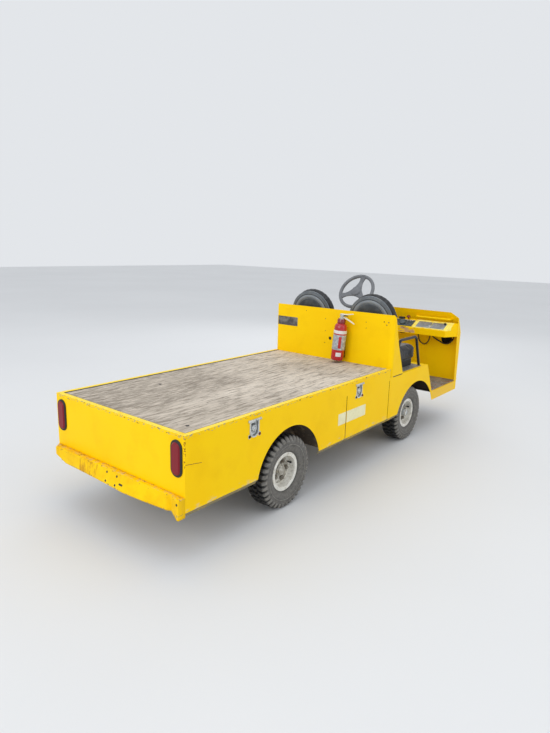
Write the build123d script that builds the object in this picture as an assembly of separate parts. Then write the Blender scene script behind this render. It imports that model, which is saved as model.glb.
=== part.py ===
from build123d import *
import math
import os

# Electric flatbed burden carrier: folded sheet body on two rails, plank deck behind,
# two seats over the front axle, open footwell and a folded nose.
# Millimetres. +X forward, +Y to the driver's side, +Z up, z = 0 on the ground.
# Stations along the vehicle are given ahead of the rear panel's outer face and
# turned into model x by at(), so that x = 0 is the middle of the overall length.

os.makedirs("parts", exist_ok=True)

# Body
BODY_WIDTH = 1118.0
DECK_LENGTH = 2066.0
CAB_LENGTH = 1399.0
SHEET = 3.0
SKIRT_Z = 286.0
SKIRT_FOLD_IN = 18.0
SKIRT_FOLD_DROP = 28.0
DECK_Z = 679.0
FIT_GAP = 0.3

# Bumpers
REAR_BUMPER_DEPTH = 45.0
FRONT_BUMPER_DEPTH = 40.0
BUMPER_PLATE = 5.0
BUMPER_TOP_Z = 365.0
BUMPER_BOTTOM_Z = 283.0
BUMPER_CHAMFER = 38.0
BUMPER_CORNER_R = 110.0
HITCH_PITCH_Y = 90.0
HITCH_PITCH_Z = 44.0
HITCH_Z = 321.0
HITCH_HOLE_R = 6.0
HITCH_SLOT_Y = 95.0
HITCH_SLOT_LENGTH = 30.0
HITCH_SLOT_HEIGHT = 8.0

# Deck
RIM_WIDTH = 28.0
RIM_DEPTH = 22.0
RIM_LEDGE = 30.0
BOARD_THICKNESS = 18.0
BOARD_GAP = 2.0
BOARD_HOLE_R = 11.0
BOARD_HOLES = ((122.0, -443.0), (564.0, 298.0))

# Bulkhead, stations ahead of the deck's end, holes as (y, z, radius)
BULKHEAD_TOP_Z = 1082.0
BULKHEAD_BEND = 35.0
BULKHEAD_CORNER = 22.0
WING_FOOT = 207.0
WING_MID = 104.0
WING_MID_Z = 849.0
# Holes as (distance from the right edge, height, radius)
BULKHEAD_HOLES = ((559.0, 844.0, 14.0), (805.0, 1045.0, 4.0), (611.0, 998.0, 4.0), (607.0, 901.0, 4.0),
                  (608.0, 803.0, 4.0), (238.0, 1009.0, 4.0), (235.0, 963.0, 4.0),
                  (85.0, 1026.0, 5.0), (61.0, 1004.0, 5.0), (47.0, 1024.0, 5.0))

# Front body, stations ahead of the deck's end
PLATFORM_Z = 612.0
FENDER_TOP = 681.0
FENDER_FOOT = 852.0
FLOOR_Z = 350.0
FLOOR_LAP = 18.0
SILL_Z = 269.0

# Nose and dash, distances back from the nose
COWL_KNEE_Z = 819.0
COWL_TOP_BACK = 97.0
COWL_TOP_Z = 1003.0
COWL_CLIP_Y = 78.0
COWL_CLIP_Z = 55.0
COWL_BEND = 22.0
FLANGE_FOOT_BACK = 64.0
FLANGE_TOP_BACK = 99.0
DASH_LIP_BACK = 235.0
DASH_LIP_LOW_Z = 783.0
DASH_LIP_HIGH_Z = 838.0
DASH_BACK_Z = 905.0
DASH_LIP_INSET = 66.0
DASH_FRAME_WIDTH = 12.0
DASH_FRAME_HEIGHT = 5.0
PLATE_START = 16.0
PLATE_LENGTH = 104.0
PLATE_THICKNESS = 4.0
CLUSTER_SPAN = (-150.0, 130.0)
PLATE_GAP = 6.0
PLATE_OFFSET = 40.0
PLATE_INSET = 25.0
HANDLE_Z = 935.0
HANDLE_REACH = 48.0
HANDLE_R = 9.0
HANDLE_BEND = 22.0

# Arches and flank slots
REAR_ARCH_Z = 218.0
REAR_ARCH_R = 307.0
FRONT_ARCH_AHEAD = 57.0
FRONT_ARCH_Z = 135.0
FRONT_ARCH_R = 363.0
SLOT_WIDTH = 9.0
SLOT_BACK = 616.0
SLOT_TOP_Z = 588.0
PANEL_END_BACK = 2.0

# Frame
RAIL_WIDTH = 60.0
RAIL_HEIGHT = 70.0
RAIL_WALL = 5.0
RAIL_Z = 330.0
RAIL_START = 20.0
RAIL_PAST_FENDER = 88.0
DROP_RAIL_LENGTH = 75.0
BEARER_HEIGHT = 55.0
BEARER_WIDTH = 45.0
POST_SIZE = 45.0
BEARER_FIRST = 60.0
BEARER_BEHIND_AXLE = 238.0
BEARER_AHEAD_OF_AXLE = 312.0
BEARER_LAST_BACK = 36.0
CROSSBAR_WIDTH = 40.0
CROSSBAR_END = 45.0
CROSSBAR_AHEAD_OF_AXLE = 482.0
CROSSBAR_BEHIND_CAB = 166.0
CROSSBAR_UNDER_SEATS = 154.0

# Wheels and axles
REAR_AXLE_X = 838.0
FRONT_AXLE_AHEAD = 436.0
TYRE_R = 228.0
TYRE_WIDTH = 145.0
TREAD_WIDTH = 120.0
LUG_DEPTH = 9.0
LUG_TEETH = 36
LUG_TIP_SHARE = 0.29
LUG_ROOT_SHARE = 0.36
SHOULDER_EASE = 0.96
WALL_TOP_SHARE = 0.83
WALL_FOOT_SHARE = 0.74
REAR_WHEEL_INSET = 19.0
FRONT_WHEEL_INSET = 29.0
RIM_FLANGE_R = 121.0
RIM_SEAT_R = 102.0
RIM_HALF_WIDTH = 52.0
RIM_WALL = 4.0
DISC_RECESS = 44.0
DISC_THICKNESS = 6.0
HUB_R = 36.0
LUG_CIRCLE_R = 57.0
NUT_COUNT = 5
NUT_R = 11.0
NUT_HEIGHT = 16.0
CAP_R = 29.0
CAP_LENGTH = 46.0
DRUM_R = 92.0
DRUM_WIDTH = 46.0
SPINDLE_R = 16.0
RUN_CLEARANCE = 0.3
KINGPIN_INBOARD = 107.5
KINGPIN_R = 11.0
BOSS_R = 22.0
BOSS_HEIGHT = 60.0
EAR_R = 24.0
EAR_PLATE = 14.0
EAR_GAP = 0.6
BEAM_SIZE = 50.0
ARM_LENGTH = 110.0
STEER_ARM_LENGTH = 130.0
ARM_WIDTH = 26.0
EYE_R = 16.0
TIE_ROD_R = 9.0
BALL_R = 14.0
BALL_HEIGHT = 26.0
RAIL_INBOARD = 115.0
REAR_TUBE_R = 38.0
GEAR_R = 110.0
GEAR_WIDTH = 150.0
GEAR_CHAMFER = 26.0
SPRING_WIDTH = 45.0
SPRING_HALF = 240.0
SPRING_LEAF = 8.0
SPRING_BLOCK = 24.0
MOTOR_R = 95.0
MOTOR_LENGTH = 250.0
MOTOR_SEAT = 20.0
BATTERY_HEIGHT = 240.0
BATTERY_CLEARANCE = 97.5
BATTERY_OVERHANG = 45.0
LINER_CLEARANCE = 25.0

# Seats, stations ahead of the deck's end
SEAT_WIDTH = 392.0
SEAT_MARGIN = 77.0
SEAT_BACK = 146.0
SEAT_TOP_Z = 1200.0
SEAT_LEAN = 70.0
SHELL_DEPTH = 12.0
SHELL_RING = 34.0
SHELL_GROOVE = 10.0
SHELL_RELIEF = 5.0
PAD_DEPTH = 62.0
PAD_INSET = 8.0
PAD_DROP = 20.0
CUSHION_TOP_Z = 775.0
CUSHION_BOTTOM_Z = 672.0
CUSHION_FRONT = 614.0
CUSHION_CORNER = 60.0
CUSHION_NOSE = 40.0
BASE_INSET = 20.0
BASE_SETBACK = 60.0
HIP_TUBE_R = 11.0
HIP_OUTBOARD = 31.0
HIP_TUBE_Z = 866.0
HIP_REAR = 50.0
HIP_BEND = 505.0
HIP_FOOT = 606.0
HIP_BEND_R = 45.0

# Steering, distances back from the nose, spoke as (share of its reach, half width)
WHEEL_BACK = 536.0
WHEEL_Z = 1163.0
WHEEL_R = 182.0
WHEEL_TUBE_R = 12.0
WHEEL_HUB_R = 46.0
WHEEL_HUB_HEIGHT = 30.0
WHEEL_SPOKE_ANGLES = (83.0, 203.0, 323.0)
SPOKE_OUTLINE = ((0.0, 32.0), (0.27, 30.0), (0.6, 18.0), (0.8, 23.0), (1.0, 39.0))
SPOKE_DROP = 4.0
COLUMN_TILT = 33.5
COLUMN_R = 24.0
COLUMN_FOOT_BACK = 69.0
LOWER_SHAFT_R = 14.0
STEER_BOX_BACK = 315.0
STEER_BOX_LENGTH = 100.0
STEER_BOX_HEIGHT = 90.0
STEER_BOX_OUTBOARD = 40.0
HOLE_CLEARANCE = 6.0
PEDAL_BACK = 135.0
PEDAL_HEIGHT = 120.0
PEDAL_LENGTH = 90.0
BRAKE_INBOARD = 71.0
BRAKE_WIDTH = 70.0
THROTTLE_OUTBOARD = 106.0
THROTTLE_WIDTH = 80.0

# Lights
TAIL_LIGHT_INSET = 56.0
TAIL_LIGHT_Z = 553.0
TAIL_LIGHT_HEIGHT = 190.0
TAIL_LIGHT_WIDTH = 82.0
GROMMET_LIP = 11.0
GROMMET_STAND = 8.0
LENS_STAND = 14.0
HEADLIGHT_INSET = 134.0
HEADLIGHT_Z = 738.0
HEADLIGHT_R = 70.0
BEZEL_WIDTH = 8.0
BEZEL_DEPTH = 8.0
LENS_BULGE = 10.0
LENS_BEVEL = 4.0
LAMP_BACK_R = 52.0
LAMP_BACK_DEPTH = 8.0

# Tie-down pans in the flank
TIE_DOWN_REAR = 500.0
TIE_DOWN_FRONT_BACK = 459.0
PAN_WIDTH = 66.0
PAN_HEIGHT = 92.0
PAN_DEPTH = 16.0
PAN_WALL = 2.0
PAN_TOP_Z = 642.0
PAN_BAR_LENGTH = 97.0
PAN_BAR_R = 6.0
PAN_RING = 8.0

# Extinguisher leaning on the bulkhead, bottle's ends as (share of the radius across, along)
BOTTLE_Y = -121.0
BOTTLE_R = 50.0
BOTTLE_LEAN = 4.8
BOTTLE_BOTTOM_Z = 697.0
BOTTLE_HEIGHT = 290.0
BOTTLE_STANDOFF = 18.0
BOTTLE_FOOT = ((0.88, 0.0), (1.0, 0.16))
BOTTLE_SHOULDER = ((1.0, 0.6), (0.94, 0.3), (0.8, 0.08))
NECK_R = 33.0
NECK_HEIGHT = 40.0
HEAD_R = 21.0
HEAD_HEIGHT = 34.0
BRACKET_WIDTH = 50.0
UPPER_LEVER = 95.0
LOWER_LEVER = 114.0
LEVER_WIDTH = 17.0
LEVER_TIP = 8.0

# Wiring clipped to the nose panel, its route's points as (distance from the right side, height)
WIRE_LOOP = ((421.0, 791.0), (421.0, 752.0), (413.0, 705.0), (384.0, 668.0), (344.0, 655.0),
             (309.0, 688.0), (297.0, 742.0), (297.0, 791.0))
WIRE_BUNDLE = ((281.0, 791.0), (281.0, 761.0), (260.0, 737.0), (212.0, 714.0), (159.0, 690.0),
               (114.0, 690.0), (75.0, 722.0), (59.0, 760.0), (59.0, 791.0))
WIRE_LOOP_R = 5.0
WIRE_BUNDLE_R = 6.0
WIRE_ARC_SHARE = 0.45
CLIP_SIZE = 24.0
WIRE_OFF_PANEL = 16.0

# Stations that follow from the sizes above
BODY_LENGTH = DECK_LENGTH + CAB_LENGTH
TAIL = REAR_BUMPER_DEPTH - (REAR_BUMPER_DEPTH + BODY_LENGTH + FRONT_BUMPER_DEPTH) / 2
HALF = BODY_WIDTH / 2
INNER_Y = HALF - SHEET
WING_FOOT_X = DECK_LENGTH + WING_FOOT
WING_MID_X = DECK_LENGTH + WING_MID
FENDER_TOP_X = DECK_LENGTH + FENDER_TOP
FENDER_FOOT_X = DECK_LENGTH + FENDER_FOOT
FRONT_AXLE_X = DECK_LENGTH + FRONT_AXLE_AHEAD
FRONT_ARCH_X = FRONT_AXLE_X + FRONT_ARCH_AHEAD
PANEL_END_X = DECK_LENGTH - PANEL_END_BACK
SLOT_X = DECK_LENGTH - SLOT_BACK
TIE_DOWN_X = (TIE_DOWN_REAR, DECK_LENGTH - TIE_DOWN_FRONT_BACK)
COWL_TOP_X = BODY_LENGTH - COWL_TOP_BACK
FLANGE_FOOT_X = BODY_LENGTH - FLANGE_FOOT_BACK
FLANGE_TOP_X = BODY_LENGTH - FLANGE_TOP_BACK
DASH_LIP_X = BODY_LENGTH - DASH_LIP_BACK
WHEEL_X = BODY_LENGTH - WHEEL_BACK
STEER_BOX_X = BODY_LENGTH - STEER_BOX_BACK
RAIL_END_X = FENDER_TOP_X + RAIL_PAST_FENDER
DROP_RAIL_X = RAIL_END_X - DROP_RAIL_LENGTH
BEARERS = (BEARER_FIRST, REAR_AXLE_X - BEARER_BEHIND_AXLE, REAR_AXLE_X + BEARER_AHEAD_OF_AXLE,
           DECK_LENGTH - BEARER_LAST_BACK)
CROSSBARS = (CROSSBAR_END, BEARERS[1] - CROSSBAR_WIDTH, REAR_AXLE_X + CROSSBAR_AHEAD_OF_AXLE,
             DECK_LENGTH - CROSSBAR_BEHIND_CAB, DECK_LENGTH + CROSSBAR_UNDER_SEATS,
             RAIL_END_X - CROSSBAR_END)
SEAT_BACK_X = DECK_LENGTH + SEAT_BACK
CUSHION_FRONT_X = DECK_LENGTH + CUSHION_FRONT
BOTTLE_X = DECK_LENGTH - BOTTLE_R - BOTTLE_STANDOFF

# Places across and up that follow
REAR_MID_Y = HALF - REAR_WHEEL_INSET - TYRE_WIDTH / 2
FRONT_MID_Y = HALF - FRONT_WHEEL_INSET - TYRE_WIDTH / 2
KINGPIN_Y = FRONT_MID_Y - KINGPIN_INBOARD
RAIL_Y = KINGPIN_Y - RAIL_INBOARD
SEAT_Y = HALF - SEAT_MARGIN - SEAT_WIDTH / 2
TAIL_LIGHT_Y = HALF - TAIL_LIGHT_INSET
HEADLIGHT_Y = HALF - HEADLIGHT_INSET
DASH_LIP_HALF = HALF - DASH_LIP_INSET
RAIL_TOP_Z = RAIL_Z + RAIL_HEIGHT
LEDGE_Z = DECK_Z - RIM_DEPTH
BEARER_Z = LEDGE_Z - SHEET - BEARER_HEIGHT
PANEL_TOP_Z = DECK_Z - SHEET
FLOOR_BOTTOM_Z = FLOOR_Z - SHEET
STEER_BOX_BOTTOM_Z = FLOOR_BOTTOM_Z - STEER_BOX_HEIGHT
DISC_IN = RIM_HALF_WIDTH - DISC_RECESS - DISC_THICKNESS
HUB_INNER = DISC_IN - DRUM_WIDTH
EAR_LOW_Z = TYRE_R - BOSS_HEIGHT / 2 - EAR_GAP - EAR_PLATE
EAR_HIGH_Z = TYRE_R + BOSS_HEIGHT / 2 + EAR_GAP
LINK_Z = EAR_LOW_Z - BALL_HEIGHT / 2
FENDER_LEAN = (FENDER_FOOT - FENDER_TOP) / (PLATFORM_Z - SILL_Z)
COWL_LEAN = COWL_TOP_BACK / (COWL_TOP_Z - COWL_KNEE_Z)
DASH_SLOPE = (DASH_BACK_Z - DASH_LIP_HIGH_Z) / (DASH_LIP_BACK - COWL_TOP_BACK)


def at(station):
    """Model x of a station ahead of the rear panel."""
    return TAIL + station


def box(x0, x1, y0, y1, z0, z1):
    """Block between two corners, the y pair in either order."""
    size = (x1 - x0, abs(y1 - y0), z1 - z0)
    return Pos((x0 + x1) / 2, (y0 + y1) / 2, (z0 + z1) / 2) * Box(*size)


def prism_y(sketch, y0, y1):
    """Side-view sketch (x, z) extruded across the vehicle."""
    low, high = sorted((y0, y1))
    return extrude(Plane(origin=(0, high, 0), x_dir=(1, 0, 0), z_dir=(0, -1, 0)) * sketch, high - low)


def prism_x(sketch, x0, x1):
    """End-view sketch (y, z) extruded along the vehicle."""
    return extrude(Plane(origin=(x0, 0, 0), x_dir=(0, 1, 0), z_dir=(1, 0, 0)) * sketch, x1 - x0)


def prism_z(sketch, z0, z1):
    """Plan sketch (x, y) extruded upwards."""
    return extrude(Plane.XY.offset(z0) * sketch, z1 - z0)


def outline(*points):
    """Closed straight-sided sketch."""
    return make_face(Polyline(*points, close=True))


def cylinder_y(x, z, radius, y0, y1):
    """Round bar across the vehicle."""
    return prism_y(Pos(x, z) * Circle(radius), y0, y1)


def post(x, y, z0, z1, radius):
    """Upright round bar."""
    return prism_z(Pos(x, y) * Circle(radius), z0, z1)


def rod(start, end, radius):
    """Round bar between two points."""
    path = Line(start, end)
    return extrude(Plane(origin=start, z_dir=path % 0) * Circle(radius), path.length)


def mirrored(shape):
    """The same piece on the other side."""
    return mirror(shape, about=Plane.XZ)


def group(*shapes):
    """Several separate solids as one set."""
    return Compound(children=[solid for shape in shapes for solid in shape.solids()])


def both(shape):
    """A piece and its mirror image, as one set."""
    return group(shape, mirrored(shape))


def save(name, shape):
    """Write one node."""
    solids = shape.solids()
    export_step(solids[0] if len(solids) == 1 else group(shape), f"parts/{name}.step")


# Frame: rails, dropped rails under the footwell, crossbars, posts and deck bearers
def tube_x(x0, x1, y, z0, width, height):
    """Rectangular tube along the vehicle, open at its ends."""
    outer = box(x0, x1, y - width / 2, y + width / 2, z0, z0 + height)
    inner = box(x0, x1, y - width / 2 + RAIL_WALL, y + width / 2 - RAIL_WALL,
                z0 + RAIL_WALL, z0 + height - RAIL_WALL)
    return outer - inner


def main_frame():
    """Ladder frame with the posts and bearers that carry the deck."""
    nose = at(BODY_LENGTH) - SHEET
    rail = tube_x(at(RAIL_START), at(RAIL_END_X), RAIL_Y, RAIL_Z, RAIL_WIDTH, RAIL_HEIGHT)
    y_in, y_out = RAIL_Y - RAIL_WIDTH / 2, RAIL_Y + RAIL_WIDTH / 2
    drop = box(at(DROP_RAIL_X), at(RAIL_END_X), y_in, y_out, SILL_Z, RAIL_Z)
    toe = box(at(RAIL_END_X), nose, y_in, y_out, SILL_Z, FLOOR_BOTTOM_Z)
    side = rail + drop + toe
    for station in BEARERS:
        side = side + box(at(station) - POST_SIZE / 2, at(station) + POST_SIZE / 2,
                          RAIL_Y - POST_SIZE / 2, RAIL_Y + POST_SIZE / 2, RAIL_TOP_Z, BEARER_Z)
    frame = side + mirrored(side)
    for station in CROSSBARS:
        frame = frame + box(at(station) - CROSSBAR_WIDTH / 2, at(station) + CROSSBAR_WIDTH / 2,
                            -y_in, y_in, RAIL_Z, RAIL_Z + CROSSBAR_WIDTH)
    for station in BEARERS:
        frame = frame + box(at(station) - BEARER_WIDTH / 2, at(station) + BEARER_WIDTH / 2,
                            -INNER_Y, INNER_Y, BEARER_Z, BEARER_Z + BEARER_HEIGHT)
    return frame


def deck_rim():
    """Folded rim round three sides of the deck: top flange, web and ledge."""
    front = at(DECK_LENGTH)

    def band(inset_out, inset_in, z0, z1):
        outer = box(at(0) + inset_out, front, inset_out - HALF, HALF - inset_out, z0, z1)
        inner = box(at(0) + inset_in, front, inset_in - HALF, HALF - inset_in, z0, z1)
        return outer - inner

    top = band(0, RIM_WIDTH, DECK_Z - SHEET, DECK_Z)
    web = band(RIM_WIDTH - SHEET, RIM_WIDTH, LEDGE_Z - SHEET, DECK_Z - SHEET)
    ledge = band(RIM_WIDTH - SHEET, RIM_WIDTH + RIM_LEDGE, LEDGE_Z - SHEET, LEDGE_Z)
    return top + web + ledge


def deck_board():
    """Plank deck lying on the rim's ledge, with its bolt holes."""
    inset = RIM_WIDTH + BOARD_GAP
    board = box(at(0) + inset, at(DECK_LENGTH) - BOARD_GAP, inset - HALF, HALF - inset,
                LEDGE_Z, LEDGE_Z + BOARD_THICKNESS)
    for station, y in BOARD_HOLES:
        board = board - post(at(station), y, LEDGE_Z, LEDGE_Z + BOARD_THICKNESS, BOARD_HOLE_R)
    return board


# Flank sheets
def skirt_fold(start, end):
    """Lower edge of a left flank sheet, folded down and inwards."""
    section = outline((INNER_Y, SKIRT_Z), (HALF, SKIRT_Z),
                      (HALF - SKIRT_FOLD_IN, SKIRT_Z - SKIRT_FOLD_DROP),
                      (INNER_Y - SKIRT_FOLD_IN, SKIRT_Z - SKIRT_FOLD_DROP))
    return prism_x(section, at(start), at(end))


def pan_outline(grow):
    """Tie-down pan in the side view about its top middle: flat top, round foot."""
    radius = PAN_WIDTH / 2 + grow
    foot = PAN_WIDTH / 2 - PAN_HEIGHT
    edges = Polyline((-radius, foot), (-radius, grow), (radius, grow), (radius, foot))
    return make_face(edges + ThreePointArc((radius, foot), (0, foot - radius), (-radius, foot)))


def side_panel():
    """Left flank sheet with its wheel arch, slots, tie-down windows and lower fold."""
    panel = box(at(0), at(PANEL_END_X), INNER_Y, HALF, SKIRT_Z, PANEL_TOP_Z)
    panel = panel + skirt_fold(0, PANEL_END_X - SLOT_WIDTH)
    inside = INNER_Y - SKIRT_FOLD_IN
    panel = panel - cylinder_y(at(REAR_AXLE_X), REAR_ARCH_Z, REAR_ARCH_R, inside, HALF)
    for end in (SLOT_X + SLOT_WIDTH / 2, PANEL_END_X):
        panel = panel - box(at(end - SLOT_WIDTH), at(end), inside, HALF,
                            SKIRT_Z - SKIRT_FOLD_DROP, SLOT_TOP_Z)
    for station in TIE_DOWN_X:
        window = Pos(at(station), PAN_TOP_Z) * pan_outline(FIT_GAP)
        panel = panel - prism_y(window, INNER_Y, HALF)
    return panel


def tie_down():
    """Stamped pan let into the left flank, its rim outside, with a ring on a bar."""
    rim = prism_y(pan_outline(PAN_BAR_R) - pan_outline(0), HALF, HALF + PAN_WALL)
    well = prism_y(pan_outline(0), HALF - PAN_DEPTH, HALF + PAN_WALL)
    hollow = prism_y(pan_outline(-PAN_WALL), HALF - PAN_DEPTH + PAN_WALL, HALF + PAN_WALL)
    ring = prism_y(pan_outline(-PAN_RING) - pan_outline(-2 * PAN_RING),
                   HALF - PAN_DEPTH + PAN_WALL, HALF - PAN_RING)
    bar = prism_x(Pos(HALF + PAN_WALL, 0) * Circle(PAN_BAR_R), -PAN_BAR_LENGTH / 2, PAN_BAR_LENGTH / 2)
    outside = box(-PAN_BAR_LENGTH, PAN_BAR_LENGTH, HALF, HALF + 2 * PAN_BAR_R, -PAN_BAR_R, PAN_BAR_R)
    return rim + well - hollow + ring + (bar & outside)


def tie_downs():
    """Four pans, two in each flank."""
    pan = tie_down()
    return group(*[both(Pos(at(station), 0, PAN_TOP_Z) * pan) for station in TIE_DOWN_X])


def oval(inset):
    """Tail light outline in the end view, inset from the grommet's edge."""
    width, height = TAIL_LIGHT_WIDTH - 2 * inset, TAIL_LIGHT_HEIGHT - 2 * inset
    straight = (height - width) / 2
    return Rectangle(width, 2 * straight) + Pos(0, straight) * Circle(width / 2) \
        + Pos(0, -straight) * Circle(width / 2)


def rear_panel():
    """Rear sheet with an oval hole for each tail light."""
    panel = box(at(0), at(0) + SHEET, -INNER_Y, INNER_Y, SKIRT_Z, PANEL_TOP_Z)
    hole = prism_x(Pos(TAIL_LIGHT_Y, TAIL_LIGHT_Z) * oval(GROMMET_LIP / 2), at(0), at(0) + SHEET)
    return panel - hole - mirrored(hole)


def tail_light_housings():
    """Rubber grommets, grooved to grip the panel."""
    place = Pos(TAIL_LIGHT_Y, TAIL_LIGHT_Z)
    inside = at(0) + SHEET
    body = prism_x(place * oval(0), at(0) - GROMMET_STAND, at(0))
    body = chamfer(body.faces().sort_by(Axis.X)[0].outer_wire().edges(), GROMMET_LIP / 3)
    body = body + prism_x(place * oval(GROMMET_LIP / 2), at(0), inside)
    body = body + prism_x(place * oval(0), inside, inside + GROMMET_STAND)
    bore = prism_x(place * oval(GROMMET_LIP), at(0) - GROMMET_STAND, inside + GROMMET_STAND)
    return both(body - bore)


def tail_light_lenses():
    """Red lenses, standing a little proud of the grommets."""
    lens = prism_x(Pos(TAIL_LIGHT_Y, TAIL_LIGHT_Z) * oval(GROMMET_LIP),
                   at(0) - LENS_STAND, at(0) + SHEET + GROMMET_STAND)
    return both(chamfer(lens.faces().sort_by(Axis.X)[0].edges(), LENS_STAND - GROMMET_STAND - FIT_GAP))


# Bumpers, drawn for a wall at x = 0 and facing -X
def bumper(depth, left_chamfer, right_chamfer):
    """Folded bumper: face, top ledge and ends, open below, its lower left corner rounded."""
    def plan(inset):
        return outline((0, HALF - inset), (inset - depth, HALF - inset - left_chamfer),
                       (inset - depth, inset + right_chamfer - HALF), (0, inset - HALF))

    shell = prism_z(plan(0), BUMPER_BOTTOM_Z, BUMPER_TOP_Z)
    shell = shell - prism_z(plan(BUMPER_PLATE), BUMPER_BOTTOM_Z, BUMPER_TOP_Z - BUMPER_PLATE)
    z_arc = BUMPER_BOTTOM_Z + BUMPER_CORNER_R
    keep = Pos(HALF - BUMPER_CORNER_R, z_arc) * Circle(BUMPER_CORNER_R) \
        + outline((HALF - BUMPER_CORNER_R, BUMPER_BOTTOM_Z), (-HALF, BUMPER_BOTTOM_Z),
                  (-HALF, z_arc), (HALF - BUMPER_CORNER_R, z_arc))
    return shell & prism_x(keep, -depth, 0)


def rear_bumper():
    """Rear bumper with its hitch holes and the slot beside them."""
    piece = Pos(at(0), 0, 0) * bumper(REAR_BUMPER_DEPTH, BUMPER_CHAMFER, 0)
    face = at(0) - REAR_BUMPER_DEPTH
    for y in (-HITCH_PITCH_Y / 2, HITCH_PITCH_Y / 2):
        for z in (HITCH_Z - HITCH_PITCH_Z / 2, HITCH_Z + HITCH_PITCH_Z / 2):
            piece = piece - prism_x(Pos(y, z) * Circle(HITCH_HOLE_R), face, face + BUMPER_PLATE)
    slot = Pos(-HITCH_SLOT_Y, HITCH_Z) * Rectangle(HITCH_SLOT_LENGTH, HITCH_SLOT_HEIGHT)
    return piece - prism_x(slot, face, face + BUMPER_PLATE)


def front_bumper():
    """Same folded bumper on the nose, both ends chamfered."""
    return Pos(at(BODY_LENGTH), 0, 0) * Rot(0, 0, 180) \
        * bumper(FRONT_BUMPER_DEPTH, BUMPER_CHAMFER, BUMPER_CHAMFER)


# Bulkhead: one sheet bent round both sides into wings
def bulkhead():
    """Panel behind the seats with bent wings that taper to the top, and its holes."""
    back = at(DECK_LENGTH)

    def shell(inset):
        plan = box(back + inset, at(WING_FOOT_X) + inset, inset - HALF, HALF - inset,
                   PLATFORM_Z, BULKHEAD_TOP_Z)
        edges = plan.edges().filter_by(Axis.Z).sort_by(Axis.X)[:2]
        return fillet(edges, BULKHEAD_BEND - inset)

    keep = outline((back, PLATFORM_Z), (at(WING_FOOT_X), PLATFORM_Z), (at(WING_MID_X), WING_MID_Z),
                   (back + BULKHEAD_BEND, BULKHEAD_TOP_Z - BULKHEAD_CORNER),
                   (back + BULKHEAD_BEND - BULKHEAD_CORNER, BULKHEAD_TOP_Z), (back, BULKHEAD_TOP_Z))
    sheet = (shell(0) - shell(SHEET)) & prism_y(keep, -HALF, HALF)
    for inboard, z, radius in BULKHEAD_HOLES:
        sheet = sheet - prism_x(Pos(inboard - HALF, z) * Circle(radius), back, back + SHEET)
    return sheet


def lean_x(z):
    """Model x of the fender's front edge at a height."""
    return at(FENDER_TOP_X) + FENDER_LEAN * (PLATFORM_Z - z)


def front_fender():
    """Left flank sheet over the front wheel."""
    shape = outline((at(PANEL_END_X), SKIRT_Z), (at(FRONT_ARCH_X), SKIRT_Z),
                    (at(FRONT_ARCH_X), SILL_Z), (lean_x(SILL_Z), SILL_Z),
                    (at(FENDER_TOP_X), PLATFORM_Z), (at(PANEL_END_X), PLATFORM_Z))
    sheet = prism_y(shape, INNER_Y, HALF) + skirt_fold(PANEL_END_X, FRONT_ARCH_X)
    return sheet - cylinder_y(at(FRONT_ARCH_X), FRONT_ARCH_Z, FRONT_ARCH_R,
                              INNER_Y - SKIRT_FOLD_IN, HALF)


def seat_box():
    """Platform under the seats and the slanted panel down to the floor."""
    top = box(at(DECK_LENGTH) + BULKHEAD_BEND + SHEET, at(FENDER_TOP_X), -INNER_Y, INNER_Y,
              PLATFORM_Z - SHEET, PLATFORM_Z)
    front = outline((at(FENDER_TOP_X), PLATFORM_Z), (at(FENDER_TOP_X) - SHEET, PLATFORM_Z),
                    (lean_x(FLOOR_Z) - SHEET, FLOOR_Z), (lean_x(FLOOR_Z), FLOOR_Z))
    return top + prism_y(front, -INNER_Y, INNER_Y)


def footwell_floor():
    """Floor plate folded down into a sill on each side."""
    front = at(BODY_LENGTH) - SHEET
    plate = box(lean_x(FLOOR_Z) - FLOOR_LAP, front, -INNER_Y, INNER_Y, FLOOR_BOTTOM_Z, FLOOR_Z)
    plate = fillet(plate.edges().filter_by(Axis.Z).sort_by(Axis.X)[-2:], COWL_BEND)
    sill_end = at(FLANGE_FOOT_X) - FIT_GAP
    shape = outline((lean_x(SILL_Z) + FIT_GAP, SILL_Z), (sill_end, SILL_Z), (sill_end, FLOOR_Z),
                    (lean_x(FLOOR_Z) + FIT_GAP, FLOOR_Z))
    sill = prism_y(shape, INNER_Y, HALF)
    return plate + sill + mirrored(sill) - rod(*shaft_ends(), LOWER_SHAFT_R + HOLE_CLEARANCE)


# Nose: folded front panel leaning back at the top, with side flanges
def cowl_block(inset):
    """Solid nose outline, inset by the sheet for the hollow."""
    front = at(BODY_LENGTH) - inset
    knee_z = COWL_KNEE_Z - inset * COWL_LEAN / 2
    top_x = front - (COWL_TOP_Z - knee_z) * COWL_LEAN
    back = at(DASH_LIP_X)
    shape = outline((back, SILL_Z), (front, SILL_Z), (front, knee_z), (top_x, COWL_TOP_Z),
                    (back, COWL_TOP_Z))
    block = prism_y(shape, inset - HALF, HALF - inset)
    edges = [e for e in block.edges() if abs(e.center().Y) > HALF - inset - FIT_GAP
             and e.center().X > top_x and abs((e % 0.5).X) < abs((e % 0.5).Z)]
    return fillet(edges, COWL_BEND - inset)


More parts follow.
